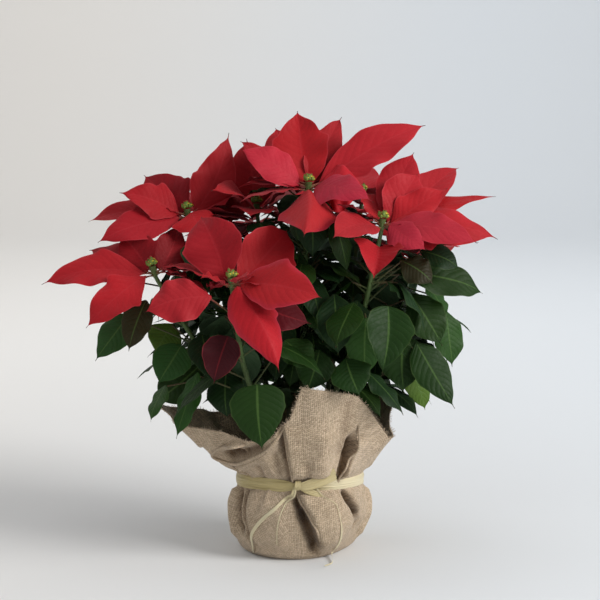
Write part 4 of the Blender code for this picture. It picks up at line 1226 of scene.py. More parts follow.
def sharpen(mesh):  # keeps the thin rim from shading as if it were round
    marks = mesh.attributes.new("sharp_edge", "BOOLEAN", "EDGE")
    edges = readAll(mesh.loops, "edge_index")
    ofLoop = np.repeat(readAll(mesh.attributes["under"].data, "value", np.float32), 4)
    least = np.ones(len(mesh.edges))
    most = np.zeros(len(mesh.edges))
    np.minimum.at(least, edges, ofLoop)
    np.maximum.at(most, edges, ofLoop)
    marks.data.foreach_set("value", (most - least > 0.5))


# Stems and petioles, swept along lines by nodes

stalkMake = {
    "sides": 9, "petiole": 1.25,
    "foot": (0.07, 0.12, 0.03), "greenEnd": (0.10, 0.055, 0.022), "redEnd": (0.20, 0.02, 0.02),
    "stemLow": (0.09, 0.07, 0.035), "stemHigh": (0.085, 0.15, 0.035), "core": (0.10, 0.15, 0.035),
    "bractFoot": (0.16, 0.12, 0.04), "bractEnd": (0.42, 0.02, 0.03),
}


def makeStalkTree(mat):
    tree, take, give = newTree("sweepStalks", [("Sides", integer, 9)])
    curve = step(tree, "MeshToCurve", {"Mesh": take["Geometry"]})
    ring = step(tree, "CurvePrimitiveCircle", {"Resolution": take["Sides"], "Radius": 1.0})
    swept = step(tree, "CurveToMesh", {"Curve": curve, "Profile Curve": ring,
                                       "Scale": named(tree, "girth"), "Fill Caps": True})
    finishTree(tree, give, swept, mat)
    return tree


def linesPiece(name, rows, tree):  # rows of line, girths and shades
    lines, girths, shades = zip(*rows)
    obj = polylines(name, lines)
    setPointValue(obj.data, "girth", "FLOAT", np.concatenate(girths) * mm)
    setTint(obj.data, np.concatenate(shades))
    return runTree(obj, tree, {"Sides": stalkMake["sides"]})


def petiole(blade, size, low, high):
    shares = np.linspace(0, 1, 7)
    first = blade.root
    last = blade.base.lerp(blade.rib(0.06), 0.8)
    side, up = blade.turned(blade.run(0.0))
    last = last - up * 0.3
    lift = first.lerp(last, 0.5) + up * (last - first).length * 0.04
    line = [first.lerp(lift, u).lerp(lift.lerp(last, u), u) for u in shares]
    girth = [stalkMake["petiole"] * size * (1.25 - 0.45 * min(u * 3, 1)) for u in shares]
    return line, girth, [tuple(a + (b - a) * u for a, b in zip(low, high)) for u in shares]


# The small true flowers on each head, set out by nodes

budMake = {
    "count": 9, "spread": 5.2,  # mm across the head
    "cup": (0.19, 0.30, 0.05), "gland": (0.62, 0.50, 0.04), "stamen": (0.42, 0.03, 0.02),
}


def makeBudTree(mat):
    tree, take, give = newTree("setBuds", [("Seed", integer, 1)])
    ball = step(tree, "MeshUVSphere", {"Segments": 12, "Rings": 9, "Radius": 0.5})
    dot = step(tree, "MeshUVSphere", {"Segments": 6, "Rings": 4, "Radius": 0.07})
    pin = step(tree, "MeshCylinder", {"Vertices": 6, "Radius": 0.05, "Depth": 1.0})
    parts = [  # mesh, tint, place, size
        (ball, "cup", (0, 0, 0.44), (0.74, 0.74, 0.98)),
        (ball, "cup", (0, 0, 0.86), (0.5, 0.5, 0.2)),
        (ball, "gland", (0.36, 0, 0.66), (0.42, 0.52, 0.3)),
    ]
    for k in range(5):
        angle = 1.2566 * k + 0.4
        x, y, z = 0.13 * math.cos(angle), 0.13 * math.sin(angle), 0.98 + 0.04 * (k % 2)
        parts += [(pin, "cup", (x, y, z), (0.8, 0.8, 0.3)), (dot, "stamen", (x, y, z + 0.16), (1, 1, 1))]
    joined = tree.nodes.new("GeometryNodeJoinGeometry")
    for mesh, tint, spot, size in parts:
        moved = step(tree, "Transform", {"Geometry": mesh, "Translation": spot, "Scale": size})
        tinted = keep(tree, moved, "tint", (*budMake[tint], 1.0), "FLOAT_COLOR")
        tree.links.new(tinted, joined.inputs[0])
    points = step(tree, "MeshToPoints", {"Mesh": take["Geometry"]})
    size = times(tree, anyValue(tree, 0.8, 1.15, seed=take["Seed"]), named(tree, "girth"))
    placed = step(tree, "InstanceOnPoints", {"Points": points, "Instance": joined.outputs[0],
                                             "Rotation": aimed(tree, "aim"), "Scale": size})
    finishTree(tree, give, placed, mat)
    return tree


def budPiece(name, head, axis, tree, seed):
    rng = random.Random(seed)
    spin = Vector((0, 0, 1)).rotation_difference(axis)
    foot = head + axis * (plant["hubTall"] + 0.3)
    spots = []
    aims = []
    sizes = []
    for k in range(budMake["count"]):
        angle = k * 2.4
        out = budMake["spread"] * math.sqrt((k + 0.3) / budMake["count"])
        local = Vector((out * math.cos(angle), out * math.sin(angle), 2.4 - out * 0.3))
        spots.append(foot + spin @ local)
        aims.append(spin @ Vector((local.x * 0.07, local.y * 0.07, 1)).normalized())
        sizes.append(rng.uniform(5.4, 7.6) * (1.1 - 0.05 * out))
    obj = newPiece(name, spots, [])
    setPointValue(obj.data, "aim", "FLOAT_VECTOR", aims)
    setPointValue(obj.data, "girth", "FLOAT", np.array(sizes) * mm)
    return runTree(obj, tree, {"Seed": seed})


# Pot and soil

potMake = {
    "line": [(0, 1.8), (50, 1.8), (54, 3.0), (67.4, 98), (68.2, 101), (73.6, 102), (74.4, 104),
             (75, 118.8), (74.6, 120), (73.6, 120), (73.0, 118.8), (72.4, 106), (66.0, 104),
             (52.4, 4.6), (50, 4.2), (0, 4.2)],
    "sides": 96,
}
soilMake = {"top": 102.2, "radius": 65.2, "low": 4.5, "foot": 52.0,
            "rings": 26, "sides": 96, "lumps": 50, "lumpSize": (6, 15), "lumpRise": (-1.4, 1.2)}
soilBits = {  # sizes in metres
    "soilCrumbs": {"Count": 800, "Low": 0.0008, "High": 0.0026, "Seed": 2},
    "soilPerlite": {"Count": 70, "Low": 0.001, "High": 0.0022, "Pale": 1.0, "Seed": 7},
}


def makePot(mat):
    points, faces = turnedBody(potMake["line"], potMake["sides"])
    obj = newPiece("potShell", points, faces, mat)
    mesh = obj.data
    turn = mesh.attributes.new("sharp_edge", "BOOLEAN", "EDGE")
    height = np.array([points[v][2] for edge in mesh.edges for v in edge.vertices]).reshape(-1, 2)
    flat = np.abs(height[:, 0] - height[:, 1]) < 0.01
    turn.data.foreach_set("value", flat & np.isin(height[:, 0], (101.0, 102.0, 106.0, 104.0)))
    return obj


def makeCrumbTree(mat):
    tree, take, give = newTree("scatterCrumbs", [
        ("Count", integer, 1000), ("Low", scalar, 0.001), ("High", scalar, 0.004),
        ("Pale", scalar, 0.0), ("Seed", integer, 1)])
    lump = step(tree, "MeshIcoSphere", {"Radius": 1.0, "Subdivisions": 1})
    push = timesPlus(tree, put(tree, "ShaderNodeTexNoise", {"Scale": 1.3})[0], 1.3, 0.35)
    pushed = put(tree, "ShaderNodeVectorMath", {0: step(tree, "InputPosition"), "Scale": push},
                 operation="SCALE")[0]
    lump = step(tree, "SetPosition", {"Geometry": lump, "Position": pushed})
    lump = keep(tree, lump, "pale", take["Pale"])
    area = math.pi * (soilMake["radius"] * mm) ** 2
    top = calc(tree, "GREATER_THAN", apart(tree, step(tree, "InputNormal"))[2], 0.6)
    points = step(tree, "DistributePointsOnFaces", {
        "Mesh": take["Geometry"], "Selection": top, "Seed": take["Seed"],
        "Density": calc(tree, "DIVIDE", take["Count"], area)})
    placed = step(tree, "InstanceOnPoints", {
        "Points": points, "Instance": lump, "Scale": anyValue(tree, take["Low"], take["High"]),
        "Rotation": anyValue(tree, (0, 0, 0), (6.28, 6.28, 6.28), "FLOAT_VECTOR")})
    finishTree(tree, give, placed, mat)
    return tree


def makeSoil(mat):
    rings, sides = soilMake["rings"], soilMake["sides"]
    points = [(0, 0, soilMake["top"])]
    rng = random.Random(5)
    spans = ((-60, 60), (-60, 60), soilMake["lumpSize"], soilMake["lumpRise"])
    lumps = [[rng.uniform(*ends) for ends in spans] for k in range(soilMake["lumps"])]
    faces = [(0, 1 + j, 1 + (j + 1) % sides) for j in range(sides)]
    for k in range(1, rings + 1):
        r = soilMake["radius"] * k / rings
        for x, y in ((r * math.cos(a), r * math.sin(a)) for a in turnsOf(sides)):
            rise = sum(h * math.exp(-((x - u) ** 2 + (y - v) ** 2) / w ** 2) for u, v, w, h in lumps)
            points.append((x, y, soilMake["top"] + rise * min(1, (rings - k) / 5)))
        if k > 1:
            faces += bridge(1 + (k - 2) * sides, 1 + (k - 1) * sides, sides, True)
    low = len(points)
    points += [*ringOf(soilMake["foot"], sides, soilMake["low"]), (0, 0, soilMake["low"])]
    for j, wall in enumerate(bridge(low - sides, low, sides, True)):
        faces += [wall, (low + j, low + sides, low + (j + 1) % sides)]
    obj = newPiece("soilBody", points, faces, mat)
    setPointValue(obj.data, "pale", "FLOAT", np.zeros(len(points)))
    return obj


# The burlap wrap, one gathered square

wrapMake = {
    "columns": 440, "rows": 100, "floorRows": 7, "thickness": 1.1,
    "cut": 0.41,  # the square's side in metres
    "narrow": 14.0, "narrowAt": -32,  # mm less at the foot, and where
    "calmAt": -176,  # where the flap leaves the tie without folds
    "belly": 84.0, "neck": 75.5, "weaveRadius": 92.0, "panelShift": 0.5,
    "panels": [(-75, 3.0), (-25, 36.0), (25, -10.0), (75, 8.0), (125, -12.0), (175, 10.0),
               (-125, -30.0)],  # bearing and turn of the weave
}
# Bearing, radius and height of the lip
lip = [
    (-180, 172, 172), (-171, 158, 163), (-162, 143, 156), (-153, 126, 155), (-144, 112, 153),
    (-135, 103, 148), (-126, 98, 145), (-117, 95, 145), (-110, 93, 152), (-103, 91.5, 165),
    (-97, 91, 174), (-92.5, 91, 192), (-88.5, 91, 212), (-81, 92, 209), (-72, 93, 207),
    (-63, 94, 204), (-54, 96, 201), (-47, 98, 197), (-39, 101, 184), (-30, 107, 161),
    (-20, 113, 139), (-14, 112, 140), (-8, 108, 150), (-3, 107, 164), (3, 112, 178),
    (9, 117, 185), (18, 115, 182), (27, 111, 176), (36, 107, 170),
    (45, 105, 166), (54, 104, 162), (63, 106, 162), (72, 110, 165), (81, 115, 170),
    (90, 119, 175), (99, 118, 174), (108, 114, 169), (117, 110, 163), (126, 108, 158),
    (135, 110, 155), (144, 116, 154), (153, 126, 156), (162, 140, 161), (171, 157, 167),
]
# Folds along lines of bearing and height: kind, height or depth, width, line
folds = [
    ("step", 7.5, 34, [(-102.5, 164), (-101.3, 149), (-100.1, 130), (-98.8, 118), (-96.7, 105),
                       (-96.2, 94)]),
    ("valley", -5.0, 4, [(-104.5, 158), (-103.5, 140), (-102.3, 122), (-100.5, 105), (-98.5, 95)]),
    ("step", 11.0, 16, [(-44, 148), (-45.5, 134), (-49.5, 122), (-52.2, 110), (-54, 98), (-54.5, 91)]),
    ("valley", -9.0, 3.8, [(-47.5, 150), (-49, 134), (-52, 122), (-54.6, 109), (-56.2, 94)]),
    ("valley", -3.0, 9, [(-53, 200), (-54, 172), (-54.5, 146), (-56, 122)]),
    ("ridge", 7.5, 13, [(-70, 160), (-71, 132), (-72, 114), (-73, 98)]),
    ("ridge", 5.0, 5, [(-103, 160), (-106, 152), (-112, 140), (-119, 128), (-130, 119), (-144, 110),
                       (-160, 108), (-166, 115), (-162, 124), (-146, 137), (-131, 142)]),
    ("valley", -12.0, 6, [(-153, 119), (-143, 125), (-134, 129)]),
    ("valley", -7.0, 6, [(-134, 129), (-124, 135), (-117, 141)]),
    ("step", 4.0, 14, [(-150, 108), (-144, 104), (-139, 98), (-136, 91)]),
    ("ridge", 4.0, 6, [(-172, 162), (-170, 138), (-167, 124)]),
    ("valley", -3.2, 4, [(-125, 116), (-124, 106), (-123, 96)]),
    ("ridge", 2.8, 5, [(-116, 126), (-115, 112), (-113, 98)]),
    ("valley", -2.6, 4, [(-110, 132), (-108.5, 116), (-105, 98)]),
    ("valley", -2.2, 5, [(-84, 124), (-84, 110), (-83, 97)]),
    ("ridge", 7.0, 7, [(-166, 80), (-164, 62), (-162, 42), (-158, 16)]),
    ("valley", -8.0, 4.0, [(-158, 82), (-154, 65), (-153, 45), (-148, 24)]),
    ("step", 7.0, 24, [(-138.8, 82), (-136.2, 70), (-134.8, 52), (-131.5, 35), (-128, 17)]),
    ("valley", -10.0, 7.0, [(-147, 84), (-145, 68), (-143.5, 51), (-141, 34), (-137, 18)]),
    ("step", 9.0, 30, [(-93.5, 84), (-90, 73), (-86, 64), (-81.2, 50), (-77.9, 40), (-74.6, 25),
                       (-70.8, 10)]),
    ("valley", -8.0, 4.5, [(-95.4, 81), (-91.8, 71), (-88, 61), (-83.6, 48)]),
    ("valley", -11.0, 7.5, [(-91, 68), (-87, 52), (-82.5, 36), (-78.6, 22), (-75, 8)]),
    ("ridge", 3.0, 12, [(-112, 76), (-108, 54), (-106, 30), (-104, 12)]),
    ("valley", -9.5, 4.5, [(-50.2, 83), (-46.1, 70), (-40.3, 60), (-31.7, 47)]),
    ("valley", -4.0, 10, [(-38, 56), (-30, 42), (-24, 30)]),
    ("step", 4.5, 24, [(-48, 84), (-43.6, 70), (-37.6, 60), (-29, 48)]),
    ("ridge", 4.0, 13, [(-68, 80), (-64, 56), (-60, 32), (-56, 14)]),
]
# Rolled edges of the cloth: radius, how far out, line
tucks = [
    (1.5, 0.2, [(-102.5, 164), (-101.3, 149), (-100.1, 130), (-98.8, 118), (-96.7, 105),
                (-96.2, 92)]),
    (2.2, 1.6, [(-101, 167), (-104, 157.5), (-109, 144.5), (-116.5, 132.5), (-129, 122), (-144, 112.5),
                (-158, 111), (-162, 116), (-158, 123), (-146, 134.5), (-130, 140.5), (-119, 146)]),
    (1.6, 0.6, [(-43.2, 162), (-44.6, 134), (-48.6, 122), (-51.6, 110), (-53.4, 98), (-54.5, 90)]),
    (1.4, 0.3, [(-93.2, 84), (-89.6, 73), (-85.4, 64), (-80.5, 50), (-77, 40), (-73.7, 25)]),
    (1.2, 0.2, [(-138.4, 82), (-135.8, 70), (-134.2, 52), (-131, 35), (-127.6, 20)]),
    (1.0, 0.3, [(-152, 109), (-144.5, 104.5), (-139, 98.5), (-135, 91)]),
]


def backFolds():  # more folds of the same kinds where the picture shows nothing
    rng = random.Random(31)
    made = []
    for low, high in ((96, 170), (12, 76)):
        bearing = -8.0
        while bearing < 196:
            drift = rng.uniform(-7, 7)
            kind = rng.choice(("ridge", "valley", "valley", "step"))
            size = rng.uniform(2.6, 5.5) * (-1 if kind == "valley" else 1)
            line = [(bearing + drift * u, low + (high - low) * u) for u in (0, 0.35, 0.7, 1.0)]
            made.append((kind, size, rng.uniform(5, 9) if kind != "step" else 22, line))
            bearing += rng.uniform(10, 17)
    return made


def wrapWaist(angle):
    return 85 - 7 * np.sin(angle)


def periodic(angles, values, at, blur):
    fine = np.radians(np.arange(-180, 180, 0.5))
    table = np.interp(fine, angles, values, period=2 * np.pi)
    reach = int(blur / 0.5)
    kernel = np.exp(-(np.arange(-3 * reach, 3 * reach + 1) / reach) ** 2)
    kernel /= kernel.sum()
    padded = np.concatenate([table[-3 * reach:], table, table[:3 * reach]])
    smooth = np.convolve(padded, kernel, "valid")
    return np.interp(at, fine, smooth, period=2 * np.pi)


def wrapLines(angle):
    bearings = np.radians([row[0] for row in lip])
    lipR = periodic(bearings, [row[1] for row in lip], angle, 1.0)
    lipZ = periodic(bearings, [row[2] for row in lip], angle, 1.0)
    waist = wrapWaist(angle)
    rows = wrapMake["rows"]
    neck = wrapMake["neck"]
    lines = np.empty((len(angle), rows, 2))
    for i in range(len(angle)):
        foot = waist[i] + 8
        off = (angle[i] - math.radians(wrapMake["narrowAt"]) + math.pi) % (2 * math.pi) - math.pi
        slim = 4 + wrapMake["narrow"] * math.exp(-(off / 0.8) ** 2)
        full = wrapMake["belly"] - 3 * math.exp(-((angle[i] + 0.1) / 0.7) ** 2)
        knots = [(72 - slim, 0), (79 - slim, 5), (full - slim * 0.6, 24), (full, 44),
                 (full, waist[i] - 26), (neck, waist[i] - 8), (neck, waist[i] + 8)]
        for z, least in ((104, 79.5), (121, 82.0)):
            share = max(z - foot, 0) / (lipZ[i] - foot)
            knots.append((max(neck + (lipR[i] - neck) * share ** 0.92, least), max(z, foot + 2)))
        knots.append((lipR[i], lipZ[i]))
        knots = np.array(knots, float)
        run = np.concatenate([[0], np.cumsum(np.linalg.norm(np.diff(knots, axis=0), axis=1))])
        at = np.linspace(0, run[-1], rows)
        lines[i] = np.column_stack([np.interp(at, run, knots[:, k]) for k in range(2)])
    for k in range(5):  # rounds the corners of the profile
        lines[:, 1:-1] = (lines[:, :-2] + 2 * lines[:, 1:-1] + lines[:, 2:]) / 4
    return lines


def foldLiftAndShade(angle, lines):
    belly = wrapMake["belly"]  # makes a bearing a length round the pot
    where = np.stack([np.broadcast_to(angle[:, None], lines.shape[:2]) * belly, lines[..., 1]], -1)
    turn = 2 * np.pi * belly
    lift = np.zeros(lines.shape[:2])
    # crease gathers painted shade: how much darker the cloth is painted in the hollows of the folds
    crease = np.zeros(lines.shape[:2])
    for kind, size, width, line in folds + backFolds():
        knots = np.array([(math.radians(b) * belly, z) for b, z in line])
        nearest = np.full(lines.shape[:2], 1e9)
        signed = np.zeros(lines.shape[:2])
        share = np.zeros(lines.shape[:2])
        for k in range(len(knots) - 1):
            for shift in (-turn, 0, turn):
                a = knots[k] + (shift, 0)
                b = knots[k + 1] + (shift, 0)
                way = b - a
                long = np.linalg.norm(way)
                u = np.clip(((where - a) @ way) / long ** 2, 0, 1)
                gap = where - (a + u[..., None] * way)
                far = np.linalg.norm(gap, axis=-1)
                side = np.sign(gap[..., 0] * way[1] - gap[..., 1] * way[0]) * (-1 if way[1] < 0 else 1)
                closer = far < nearest
                nearest = np.where(closer, far, nearest)
                signed = np.where(closer, far * side, signed)
                share = np.where(closer, (k + u) / (len(knots) - 1), share)
        ends = np.clip(np.minimum(share, 1 - share) * 6 + 0.25, 0, 1)
        if kind == "step":  # a layer that lies on its neighbour
            edge = 1 / (1 + np.exp(-np.clip(signed / 0.45, -30, 30)))
            shape = edge * np.exp(-np.clip(signed, 0, None) / width)
            shape -= 0.35 * np.exp(-((signed + 2.5) / 3.0) ** 2)
            reach = np.where(nearest < width * 2.5, 1, 0)
            lift += size * shape * ends * reach
            # painted shade at the foot of the step, where the raised layer shades the cloth below
            dark = np.exp(-np.clip((signed + 0.2) / 2.2, 0, None) ** 2) * np.exp(-(signed / 4.5) ** 2)
            crease += size * 0.055 * dark * ends
        else:
            lift += size * np.exp(-(nearest / width) ** 2) * ends
            # painted shade in the valleys
            crease += max(-size, 0) * 0.11 * np.exp(-(nearest / (width * 0.8)) ** 2) * ends
    return lift, crease


def gathers(angle, lines, waist):
    rng = np.random.default_rng(8)
    pleats = np.zeros_like(lines[..., 0])
    for k in range(46):
        at = rng.uniform(-np.pi, np.pi)
        width = rng.uniform(0.018, 0.045)
        reach = rng.uniform(12, 34)
        depth = rng.uniform(0.5, 1.7) * rng.choice((-1, 1))
        lean = rng.uniform(-0.0035, 0.0035)
        rise = lines[..., 1] - waist[:, None]
        gap = (angle[:, None] - at - lean * rise + np.pi) % (2 * np.pi) - np.pi
        along = np.exp(-(rise / reach) ** 2)
        pleats += depth * np.exp(-(gap / width) ** 2) * along
    return pleats


def outwards(body):
    around = np.roll(body, -1, axis=0) - np.roll(body, 1, axis=0)
    found = np.cross(around, np.gradient(body, axis=1))
    return found / np.linalg.norm(found, axis=2, keepdims=True)


def makeWrap(mat):
    columns, rows = wrapMake["columns"], wrapMake["rows"]
    angle = np.linspace(-np.pi, np.pi, columns, endpoint=False)
    lines = wrapLines(angle)
    waist = wrapWaist(angle)
    flow = np.stack([np.cos(angle)[:, None] * lines[..., 0], np.sin(angle)[:, None] * lines[..., 0],
                     lines[..., 1]], -1)
    rise = lines[..., 1] - waist[:, None]
    lift, crease = foldLiftAndShade(angle, lines)
    lift += gathers(angle, lines, waist)
    slow = 1.3 * np.sin(angle * 5 + 0.6)[:, None] + 0.9 * np.sin(angle * 9 + 2.0)[:, None]
    lift += slow * np.clip(lines[..., 1] / 30, 0, 1) * np.clip(np.abs(rise) / 26, 0, 1)
    tied = np.clip((np.abs(rise) - 4) / np.where(rise > 0, 12, 10), 0, 1)
    lift = np.where(lift > 0, lift * tied, lift * (0.3 + 0.7 * tied))
    nearRim = (lines[..., 1] > 98) & (lines[..., 1] < 124)
    room = lines[..., 0] - np.where(lines[..., 1] > 100, 76.6, 0) - 1.4
    lift = np.where(nearRim, np.maximum(lift, -np.clip(room, 0, 9)), lift)
    lift *= np.clip(lines[..., 1] / 10, 0, 1)
    away = (angle - math.radians(wrapMake["calmAt"]) + math.pi) % (2 * math.pi) - math.pi
    lift *= 1 - 0.85 * np.exp(-(away / 0.3) ** 2)[:, None] * (rise > 0) * (lines[..., 1] < 132)
    outer = flow + outwards(flow) * lift[..., None]
    normal = outwards(outer)
    normal[:, 0] = (0, 0, -1)
    inner = outer - normal * wrapMake["thickness"]
    floor = wrapMake["floorRows"]
    lows = []
    for body in (outer, inner):
        ring = body[:, 0]
        lows.append(np.stack([ring * np.array([k / floor, k / floor, 1]) for k in range(1, floor)], 1))
    outer = np.concatenate([lows[0], outer], axis=1)
    inner = np.concatenate([lows[1], inner], axis=1)
    tall = outer.shape[1]
    half = columns * tall
    points = np.concatenate([outer.reshape(-1, 3), inner.reshape(-1, 3),
                             [[0, 0, 0], [0, 0, wrapMake["thickness"]]]])
    i, k = np.meshgrid(np.arange(columns), np.arange(tall - 1), indexing="ij")
    a = (i * tall + k).ravel()
    b = (((i + 1) % columns) * tall + k).ravel()
    faces = np.concatenate([np.column_stack([a, b, b + 1, a + 1]),
                            np.column_stack([half + a, half + a + 1, half + b + 1, half + b])]).tolist()
    for i in range(columns):
        a, b = i * tall, ((i + 1) % columns) * tall
        faces += [(a + tall - 1, b + tall - 1, half + b + tall - 1, half + a + tall - 1),
                  (2 * half, b, a), (2 * half + 1, half + a, half + b)]
    obj = newPiece("burlapWrap", points, faces, mat)
    # the painted shade of the creases, on the outer face only
    deep = np.concatenate([np.zeros((columns, floor - 1)), np.clip(crease, 0, 1)], axis=1).ravel()
    setPointValue(obj.data, "crease", "FLOAT", np.concatenate([deep, deep * 0, [0, 0]]))
    mapCloth(obj, outer, tall, half)
    return obj, outer[:, -1], normal[:, -1]


def mapCloth(obj, outer, tall, half):  # flat places of the cloth in metres, panel by panel
    columns = wrapMake["columns"]
    up = np.linalg.norm(np.diff(outer, axis=1), axis=2)
    v = np.concatenate([np.zeros((columns, 1)), np.cumsum(up, axis=1)], axis=1)
    for k in range(60):  # keeps the weave from shearing at the folds
        v = (np.roll(v, 1, axis=0) + 2 * v + np.roll(v, -1, axis=0)) / 4
    v = v.ravel() * mm
    level = np.concatenate([v, v, [0, 0]])
    mesh = obj.data
    found = readAll(mesh.loops, "vertex_index")
    column = np.where(found >= half, found - half, found) // tall
    column = np.clip(column, 0, columns - 1)
    first = readAll(mesh.polygons, "loop_start")
    owner = np.repeat(np.arange(len(first)), readAll(mesh.polygons, "loop_total"))
    lead = column[first][owner]
    away = (column - lead + columns // 2) % columns - columns // 2
    bearing = (lead + away) * 360.0 / columns - 180
    centres = np.array([row[0] for row in wrapMake["panels"]])
    turns = np.radians([row[1] for row in wrapMake["panels"]])
    middle = lead * 360.0 / columns - 180
    gap = (middle[:, None] - centres[None, :] + 180) % 360 - 180
    panel = np.argmin(np.abs(gap), axis=1)
    off = gap[np.arange(len(gap)), panel] + (bearing - middle)
    u = np.radians(off) * wrapMake["weaveRadius"] * mm
    turn = turns[panel]
    h = level[found]
    places = np.column_stack([
        u * np.cos(turn) - h * np.sin(turn) + panel * wrapMake["panelShift"],
        u * np.sin(turn) + h * np.cos(turn)])
    setMap(mesh, "cloth", places)


def onWrap(surface, bearing, z, off):  # a point off the wrap's face at a bearing and height
    a = math.radians(bearing)
    out = Vector((math.cos(a), math.sin(a), 0))
    start = Vector((0, 0, z)) + out * 200
    spot = surface.ray_cast(start * mm, -out)[0]
    return spot / mm + out * off


def tautOver(surface, spots, off):  # a line that bridges the hollows of the cloth
    line = [onWrap(surface, b, z, off) for b, z in spots]
    reach = [spot.xy.length for spot in line]
    for k in range(6):
        for j in range(1, len(line) - 1):
            reach[j] = max(reach[j], (reach[j - 1] + reach[j + 1]) / 2)
    return [Vector((*(spot.xy.normalized() * far), spot.z)) for spot, far in zip(line, reach)]


def smoothLine(spots, count):
    spots = [Vector(p) for p in spots]
    line = []
    spans = len(spots) - 1
    for j in range(count):
        at = j / (count - 1) * spans
        k = min(int(at), spans - 1)
        line.append(between(spots[max(k - 1, 0)], spots[k], spots[k + 1],
                            spots[min(k + 2, spans)], at - k))
    return line


# Rolled hems and folded edges on the cloth

hemMake = {"sides": 12, "flat": 0.9, "taper": 5, "shift": 0.3}  # shift is metres of the weave


def makeTucks(surface, mat):
    sides = hemMake["sides"]
    points = []
    faces = []
    places = []
    for radius, out, line in tucks:
        spots = smoothLine([onWrap(surface, b, z, out) for b, z in line], 10 * len(line))
        run = 0.0
        first = len(points)
        for k, spot in enumerate(spots):
            way = wayAt(spots, k)
            off = outFrom(way, Vector((spot.x, spot.y, 0)))
            side = way.cross(off)
            span = (spot - spots[max(k - 1, 0)]).length
            run += span
            u = k / (len(spots) - 1)
            girth = radius * min(1.0, *(0.25 + hemMake["taper"] * end for end in (u, 1 - u)))
            points += [spot + off * (girth * hemMake["flat"] * math.cos(a)) + side * (girth * math.sin(a))
                       for a in turnsOf(sides)]
            if k:
                faces += bridge(first + (k - 1) * sides, first + k * sides, sides)
                for j in range(sides):
                    low, high = (6.28 * radius * v / sides * mm + hemMake["shift"] for v in (j, j + 1))
                    back, fore = (run - span) * mm, run * mm
                    places += [(back, low), (back, high), (fore, high), (fore, low)]
        last = len(points) - sides
        faces += [tuple(range(first + sides - 1, first - 1, -1)), tuple(range(last, last + sides))]
        places += [(0, 0)] * (2 * sides)
    obj = newPiece("burlapHems", points, faces, mat)
    setMap(obj.data, "cloth", places)
    return obj


# Loose threads along the burlap's cut edge, set out by nodes

fringeMake = {"count": 620, "long": (0.8, 4.2), "girth": 0.26}


def makeFringeTree(mat):
    tree, take, give = newTree("frayEdge", [
        ("Count", integer, 500), ("Short", scalar, 0.002), ("Long", scalar, 0.008),
        ("Girth", scalar, 0.0003), ("Seed", integer, 1)])
    rim = step(tree, "MeshToCurve", {"Mesh": take["Geometry"]})
    spread = step(tree, "ResampleCurve", {"Curve": rim, "Count": take["Count"]})
    points = step(tree, "CurveToPoints", {"Curve": spread}, mode="EVALUATED")
    line = step(tree, "CurvePrimitiveLine", {"Start": (0, 0, -0.15), "End": (0, 0, 1)})
    line = step(tree, "ResampleCurve", {"Curve": line, "Count": 6})
    share = step(tree, "SplineParameter")
    hook = times(tree, times(tree, share, share), 0.35)
    line = step(tree, "SetPosition", {"Geometry": line, "Offset": joinUp(tree, hook, 0)})
    jitter = anyValue(tree, (-0.5, -0.5, 0), (0.5, 0.5, 6.28), "FLOAT_VECTOR", take["Seed"])
    turned = put(tree, "FunctionNodeRotateRotation",
                 {"Rotation": aimed(tree, "away"), "Rotate By": jitter}, rotation_space="LOCAL")[0]
    size = anyValue(tree, take["Short"], take["Long"], seed=take["Seed"])
    placed = step(tree, "InstanceOnPoints", {"Points": points, "Instance": line, "Rotation": turned,
                                             "Scale": size})
    lines = step(tree, "RealizeInstances", {"Geometry": placed})
    ring = step(tree, "CurvePrimitiveCircle", {"Resolution": 3, "Radius": take["Girth"]})
    swept = step(tree, "CurveToMesh", {"Curve": lines, "Profile Curve": ring, "Fill Caps": True})
    finishTree(tree, give, swept, mat)
    return tree


def makeFringe(rim, normal, tree):
    columns = len(rim)
    edges = [(k, (k + 1) % columns) for k in range(columns)]
    obj = newPiece("burlapFringe", rim, [], edges=edges)
    along = np.roll(rim, -1, axis=0) - np.roll(rim, 1, axis=0)
    away = np.cross(normal, along)
    away /= np.linalg.norm(away, axis=1, keepdims=True)
    away *= np.sign(away[:, 2:3] + 1e-6)
    setPointValue(obj.data, "away", "FLOAT_VECTOR", away)
    spec = fringeMake
    return runTree(obj, tree, {"Count": spec["count"], "Short": spec["long"][0] * mm,
                               "Long": spec["long"][1] * mm, "Girth": spec["girth"] * mm, "Seed": 4})


# The raffia tie, strands swept by nodes

raffiaMake = {
    "band": [(-4.6, 5.4, 0.0), (-2.0, 6.2, 0.5), (0.6, 5.8, 0.9), (3.2, 6.0, 0.4), (5.0, 4.4, 0.1),
             (-5.6, 3.6, 0.7), (1.8, 3.0, 1.3)],  # height off the waist, breadth, layer
    "thin": 0.13, "knotHeight": 92.5,
    "radius": 76.2, "steps": 120, "start": -92,  # of the ring, the start is the knot's bearing
    "knotTurns": 3, "knotBreadth": 3.2,
}


def makeStrandTree(mat):
    tree, take, give = newTree("sweepStrands", [("Thin", scalar, 0.13)])
    curve = step(tree, "MeshToCurve", {"Mesh": take["Geometry"]})
    faced = step(tree, "SetCurveNormal", {"Curve": curve, "Normal": named(
        tree, "outward", "FLOAT_VECTOR")}, mode="FREE")
    spans = keep(tree, faced, "span", put(tree, "GeometryNodeSplineParameter")["Length"])
    ring = step(tree, "CurvePrimitiveCircle", {"Resolution": 10, "Radius": 0.5})
    flat = step(tree, "Transform", {"Geometry": ring, "Scale": joinUp(tree, take["Thin"], 1.0, 1.0)})
    rounds = keep(tree, flat, "around", step(tree, "SplineParameter"))
    swept = step(tree, "CurveToMesh", {"Curve": spans, "Profile Curve": rounds,
                                       "Scale": named(tree, "breadth"), "Fill Caps": True})
    finishTree(tree, give, swept, mat)
    return tree


